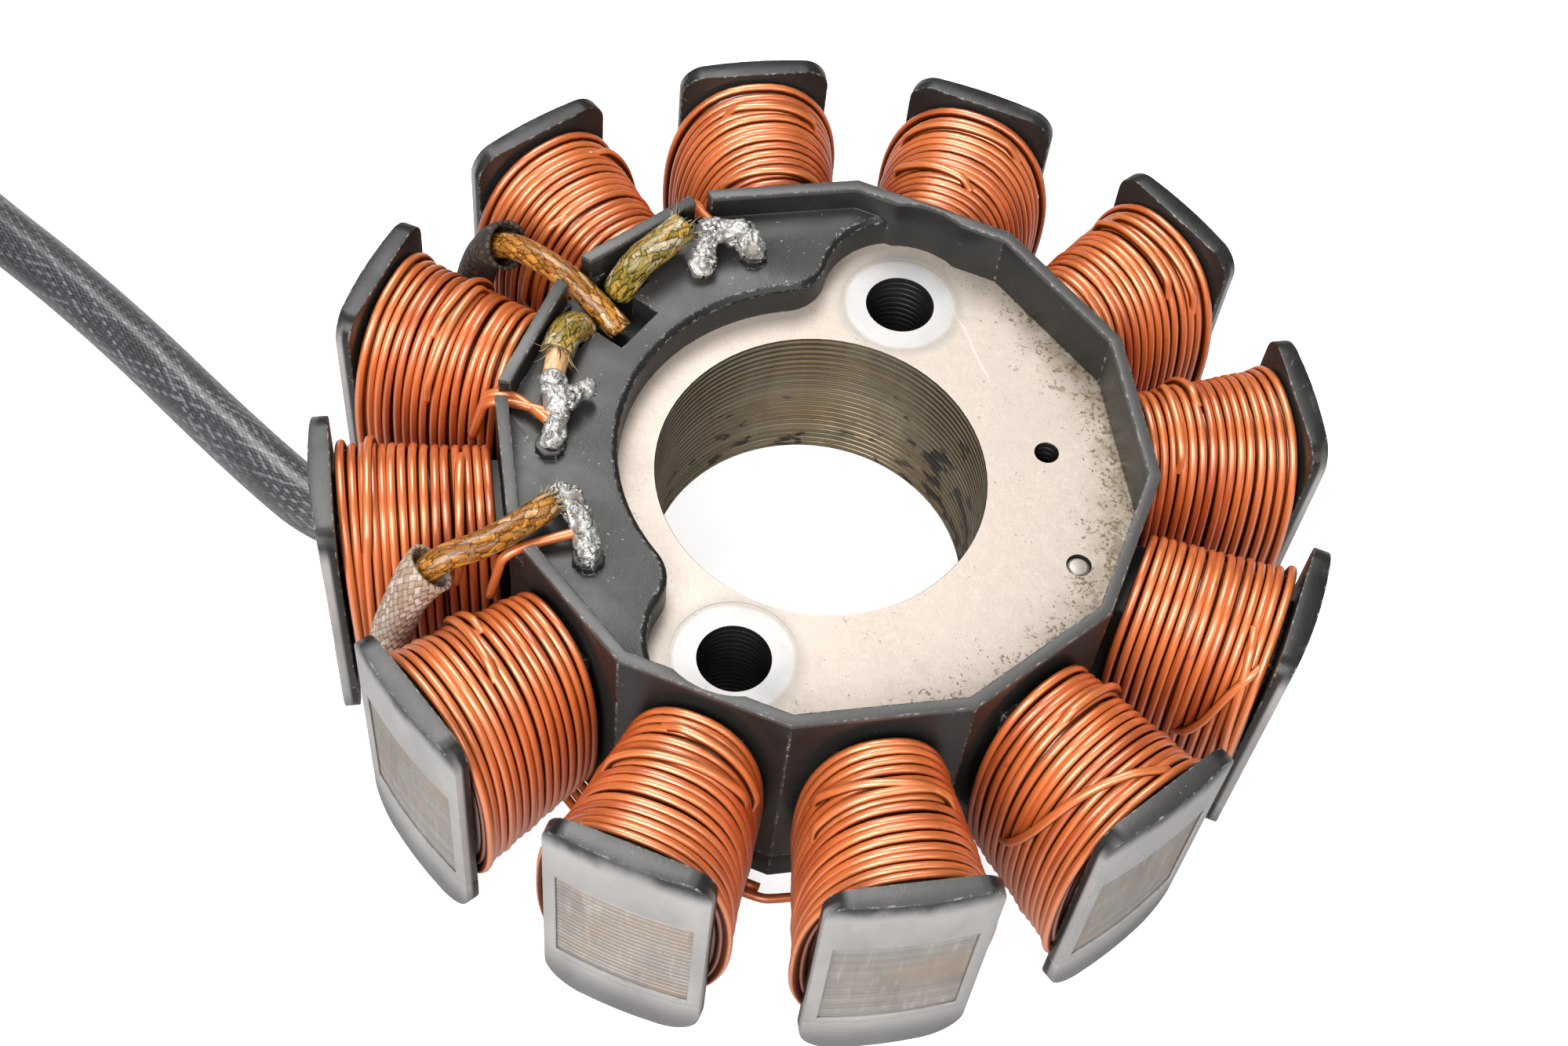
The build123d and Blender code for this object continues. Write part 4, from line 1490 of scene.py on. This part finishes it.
@dataclass
class SolderJoints:
    """The lumps of solder on the pins."""

    voxel: float = 0.11 * MM
    pins: tuple = ((-14.9, 18.8), (-23.6, -10.6), (-15.3, -20.6))
    lumps: tuple = (
        (
            ((-3.9, -3.9, 1.1), (-4.7, -0.8, 1.9), 1.1),
            ((-4.7, -0.6, 2.2), (-1.7, 0.9, 2.2), 1.15),
            ((-1.4, 0.9, 1.9), (-0.1, 0.1, 1.0), 1.25),
        ),
        (
            ((-2.4, 6.0, 2.1), (-1.0, 3.8, 1.9), 1.2),
            ((-0.8, 4.0, 1.9), (0.7, 6.5, 1.7), 0.95),
            ((-0.7, 3.4, 1.7), (0.1, 0.3, 1.0), 1.05),
        ),
        (
            ((-4.7, 4.7, 2.1), (-2.6, 3.3, 1.8), 1.15),
            ((-2.4, 3.3, 1.8), (-0.8, 1.6, 1.4), 1.2),
            ((-0.7, 1.4, 1.3), (0.0, 0.0, 1.0), 1.05),
        ),
    )

    def build(self) -> None:
        """Melts the lumps of each joint together, with a crumb on each lump."""
        for number, (pin, lumps) in enumerate(zip(self.pins, self.lumps), start=1):
            work = bmesh.new()
            chance = np.random.default_rng(7 + number)
            for start, end, radius in lumps:
                first, last = np.array(start) + (*pin, 0.0), np.array(end) + (*pin, 0.0)
                for share in np.linspace(0.0, 1.0, 9):
                    spot = first + share * (last - first) + chance.normal(0.0, 0.09, 3)
                    size = radius * (0.82 + 0.16 * chance.random())
                    self.ball(work, spot, size, 3)
                    crumb = spot + unit(chance.normal(0.0, 1.0, 3)) * size * chance.uniform(0.8, 1.0)
                    self.ball(work, crumb, chance.uniform(0.2, 0.42), 1)
            mesh = bpy.data.meshes.new(f"lumps_{number}")
            work.to_mesh(mesh)
            work.free()
            piece(f"solder_{number}", self.melted(mesh, number), [SOLDER], "solder", f"solder_joint_{number}")

    def ball(self, work: BMesh, spot: Points, radius: float, fineness: int) -> None:
        """Adds a ball at a place over the deck, in millimetres."""
        matrix = Matrix.Translation(Vector(spot * MM) + Vector((0.0, 0.0, DECK_TOP)))
        bmesh.ops.create_icosphere(work, subdivisions=fineness, radius=radius * MM, matrix=matrix)

    def melted(self, mesh: Mesh, number: int) -> Mesh:
        """Joins overlapping lumps into one uneven skin.

        Args:
            mesh: The overlapping lumps.
            number: The joint's number.

        Returns:
            The joined mesh.
        """
        holder = linked("lumps", mesh)
        holder.modifiers.new("melt", "REMESH").voxel_size = self.voxel
        holder.modifiers.new("smooth", "SMOOTH").iterations = 1
        bpy.context.view_layer.update()
        made = bpy.data.meshes.new_from_object(holder.evaluated_get(bpy.context.evaluated_depsgraph_get()))
        bpy.data.objects.remove(holder)
        for vertex in made.vertices:
            spot = vertex.co * 480.0 + Vector((number * 9.0, 0.0, 0.0))
            ridge = abs(noise.noise(spot * 1.7 + Vector((3.0, 5.0, 7.0))))
            lift = noise.noise(spot) * 0.5 + 0.3 - 0.9 * ridge + noise.noise(spot * 4.3) * 0.1
            vertex.co += vertex.normal * lift * MM
            vertex.co.z = max(vertex.co.z, DECK_TOP - 0.1 * MM)
        made.shade_smooth()
        return made


@dataclass
class OutputCable:
    """The braided cable, its wound length beyond the view, and its connector."""

    radius: float = 3.2 * MM
    level: float = 3.25
    turn_radius: float = 36.0
    lift: float = 6.5
    steps: int = 32
    points: tuple = ((-47.0, -12.1), (-59.5, -7.8), (-84.0, 2.9), (-106.5, 10.2), (-124.4, 17.9))

    def route(self) -> list[Spot]:
        """The cable's whole route, with its two wound turns.

        Returns:
            The points in metres.
        """
        before, start = np.array(self.points[-2:])
        heading = unit(start - before)
        left = np.array([-heading[1], heading[0]])
        centre = start + left * self.turn_radius
        reach = self.turn_radius / cos(pi / 16)
        spots = [(x, y, self.level) for x, y in self.points]
        for step in range(1, self.steps):
            share = step / self.steps
            angle = 4 * pi * share
            rise = min(max((share - 0.40) / 0.16, 0.0), 1.0)
            spot = centre + reach * (sin(angle) * heading - cos(angle) * left)
            spots.append((*spot, self.level + self.lift * rise))
        top = self.level + self.lift
        for out, height in ((0.0, top), (18.0, top - 0.9), (42.0, 4.75), (60.0, 4.75)):
            spots.append((*(start + heading * out), height))
        return polar((CABLE_START, CABLE_GAP, self.level)) + metres(*spots)

    def build(self) -> None:
        """Makes the cable along its route, and dresses what is on its end."""
        line = smooth_route(self.route())
        mesh = tube_mesh("output_cable", line, self.radius, 28)
        cable = piece("output_cable", mesh, [CABLE_BRAID], "cable_braid", "cable", "cable_coil", "cable_end")
        for name, node, edge, finish, slot in (
            ("housing", "connector", 0.25 * MM, CONNECTOR_NYLON, "connector_nylon"),
            ("boot", "connector_boot", 0.2 * MM, BOOT_RUBBER, "boot_rubber"),
        ):
            piece(name, softened(node, edge), [finish], slot, node)


@dataclass
class Studio:
    """The floor, the lights and the camera."""

    azimuth: float = 14.6815
    elevation: float = 56.521
    roll: float = 7.8684
    distance: float = 219.033 * MM
    target: Spot = (-1.1685 * MM, -6.967 * MM, 25.8 * MM)
    lens: float = 53.223
    aim: Spot = (0.0, 0.0, 0.015)
    lamps: tuple = (
        ("key", (-0.22, 0.28, 0.66), 0.40, 3.85),
        ("fill", (0.45, -0.35, 0.45), 0.45, 1.5),
        ("front", (-0.08, -0.52, 0.46), 0.46, 4.8),
    )

    def camera(self) -> None:
        """Places the camera as the photograph's was."""
        az, el, roll = radians(self.azimuth), radians(self.elevation), radians(self.roll)
        back = Vector((sin(az) * cos(el), -cos(az) * cos(el), sin(el)))
        right = (-back).cross(Vector((0.0, 0.0, 1.0))).normalized()
        up = right.cross(-back)
        rolled = right * cos(roll) + up * sin(roll), up * cos(roll) - right * sin(roll)
        columns = Matrix((*rolled, back)).transposed()
        lens = bpy.data.cameras.new("camera")
        lens.lens = self.lens
        lens.sensor_width = 36.0
        lens.clip_start = 0.005
        holder = linked("camera", lens)
        holder.matrix_world = Matrix.Translation(Vector(self.target) + back * self.distance) @ columns.to_4x4()
        bpy.context.scene.camera = holder

    def rays(self, graph: Graph) -> list[Value]:
        """Whether the camera sees a point itself, and whether a glossy surface does."""
        return [graph.out("LightPath", output=name) for name in ("Is Camera Ray", "Is Glossy Ray")]

    def floor(self) -> None:
        """Makes the white floor, which shows white to the camera but keeps the object's shadow."""
        work = bmesh.new()
        bmesh.ops.create_grid(work, x_segments=8, y_segments=8, size=4.0)
        mesh = bpy.data.meshes.new("floor")
        work.to_mesh(mesh)
        work.free()
        made = bpy.data.materials.new("floor")
        made.use_nodes = True
        graph = Graph(made.node_tree)
        seen, glossy = self.rays(graph)
        graph.feed(made.node_tree.nodes["Principled BSDF"].inputs, {
            "Roughness": 0.7,
            "Specular IOR Level": 0.1,
            "Base Color": seen.mix((0.45, 0.45, 0.45), (0.86, 0.86, 0.86)),
            "Emission Color": (1.0, 1.0, 1.0),
            "Emission Strength": seen.math("MAXIMUM", glossy * 0.12) * 0.82,
        })
        mesh.materials.append(made)
        linked("floor", mesh)

    def lights(self) -> None:
        """Hangs three soft lamps and sets the world."""
        for name, spot, size, power in self.lamps:
            lamp = bpy.data.lights.new(name, "AREA")
            lamp.energy, lamp.size = power, size
            holder = linked(name, lamp)
            holder.location = spot
            holder.rotation_euler = (Vector(self.aim) - Vector(spot)).to_track_quat("-Z", "Y").to_euler()
        world = bpy.data.worlds.new("world")
        bpy.context.scene.world = world
        world.use_nodes = True
        graph = Graph(world.node_tree)
        seen, glossy = self.rays(graph)
        strength = seen.ramp(0.0, 1.0, glossy.ramp(0.0, 1.0, 0.20, 0.09), 1.0)
        graph.feed(world.node_tree.nodes["Background"].inputs, {"Color": (1.0, 1.0, 1.0), "Strength": strength})

    def build(self) -> None:
        """Sets up the whole stage."""
        self.camera()
        self.floor()
        self.lights()
        bpy.context.scene.view_settings.view_transform = "Standard"


def main() -> None:
    """Builds the stator piece by piece."""
    logging.basicConfig(level=logging.INFO, format="%(name)s %(message)s")
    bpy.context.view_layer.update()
    for part in (Studio(), OutputCable(), LaminatedCore(), Insulator()):
        part.build()
    for number in range(1, TOOTH_COUNT + 1):
        Coil(number).build()
    for part in (Wiring(), Leads(), SolderJoints()):
        part.build()


if __name__ == "__main__":
    main()
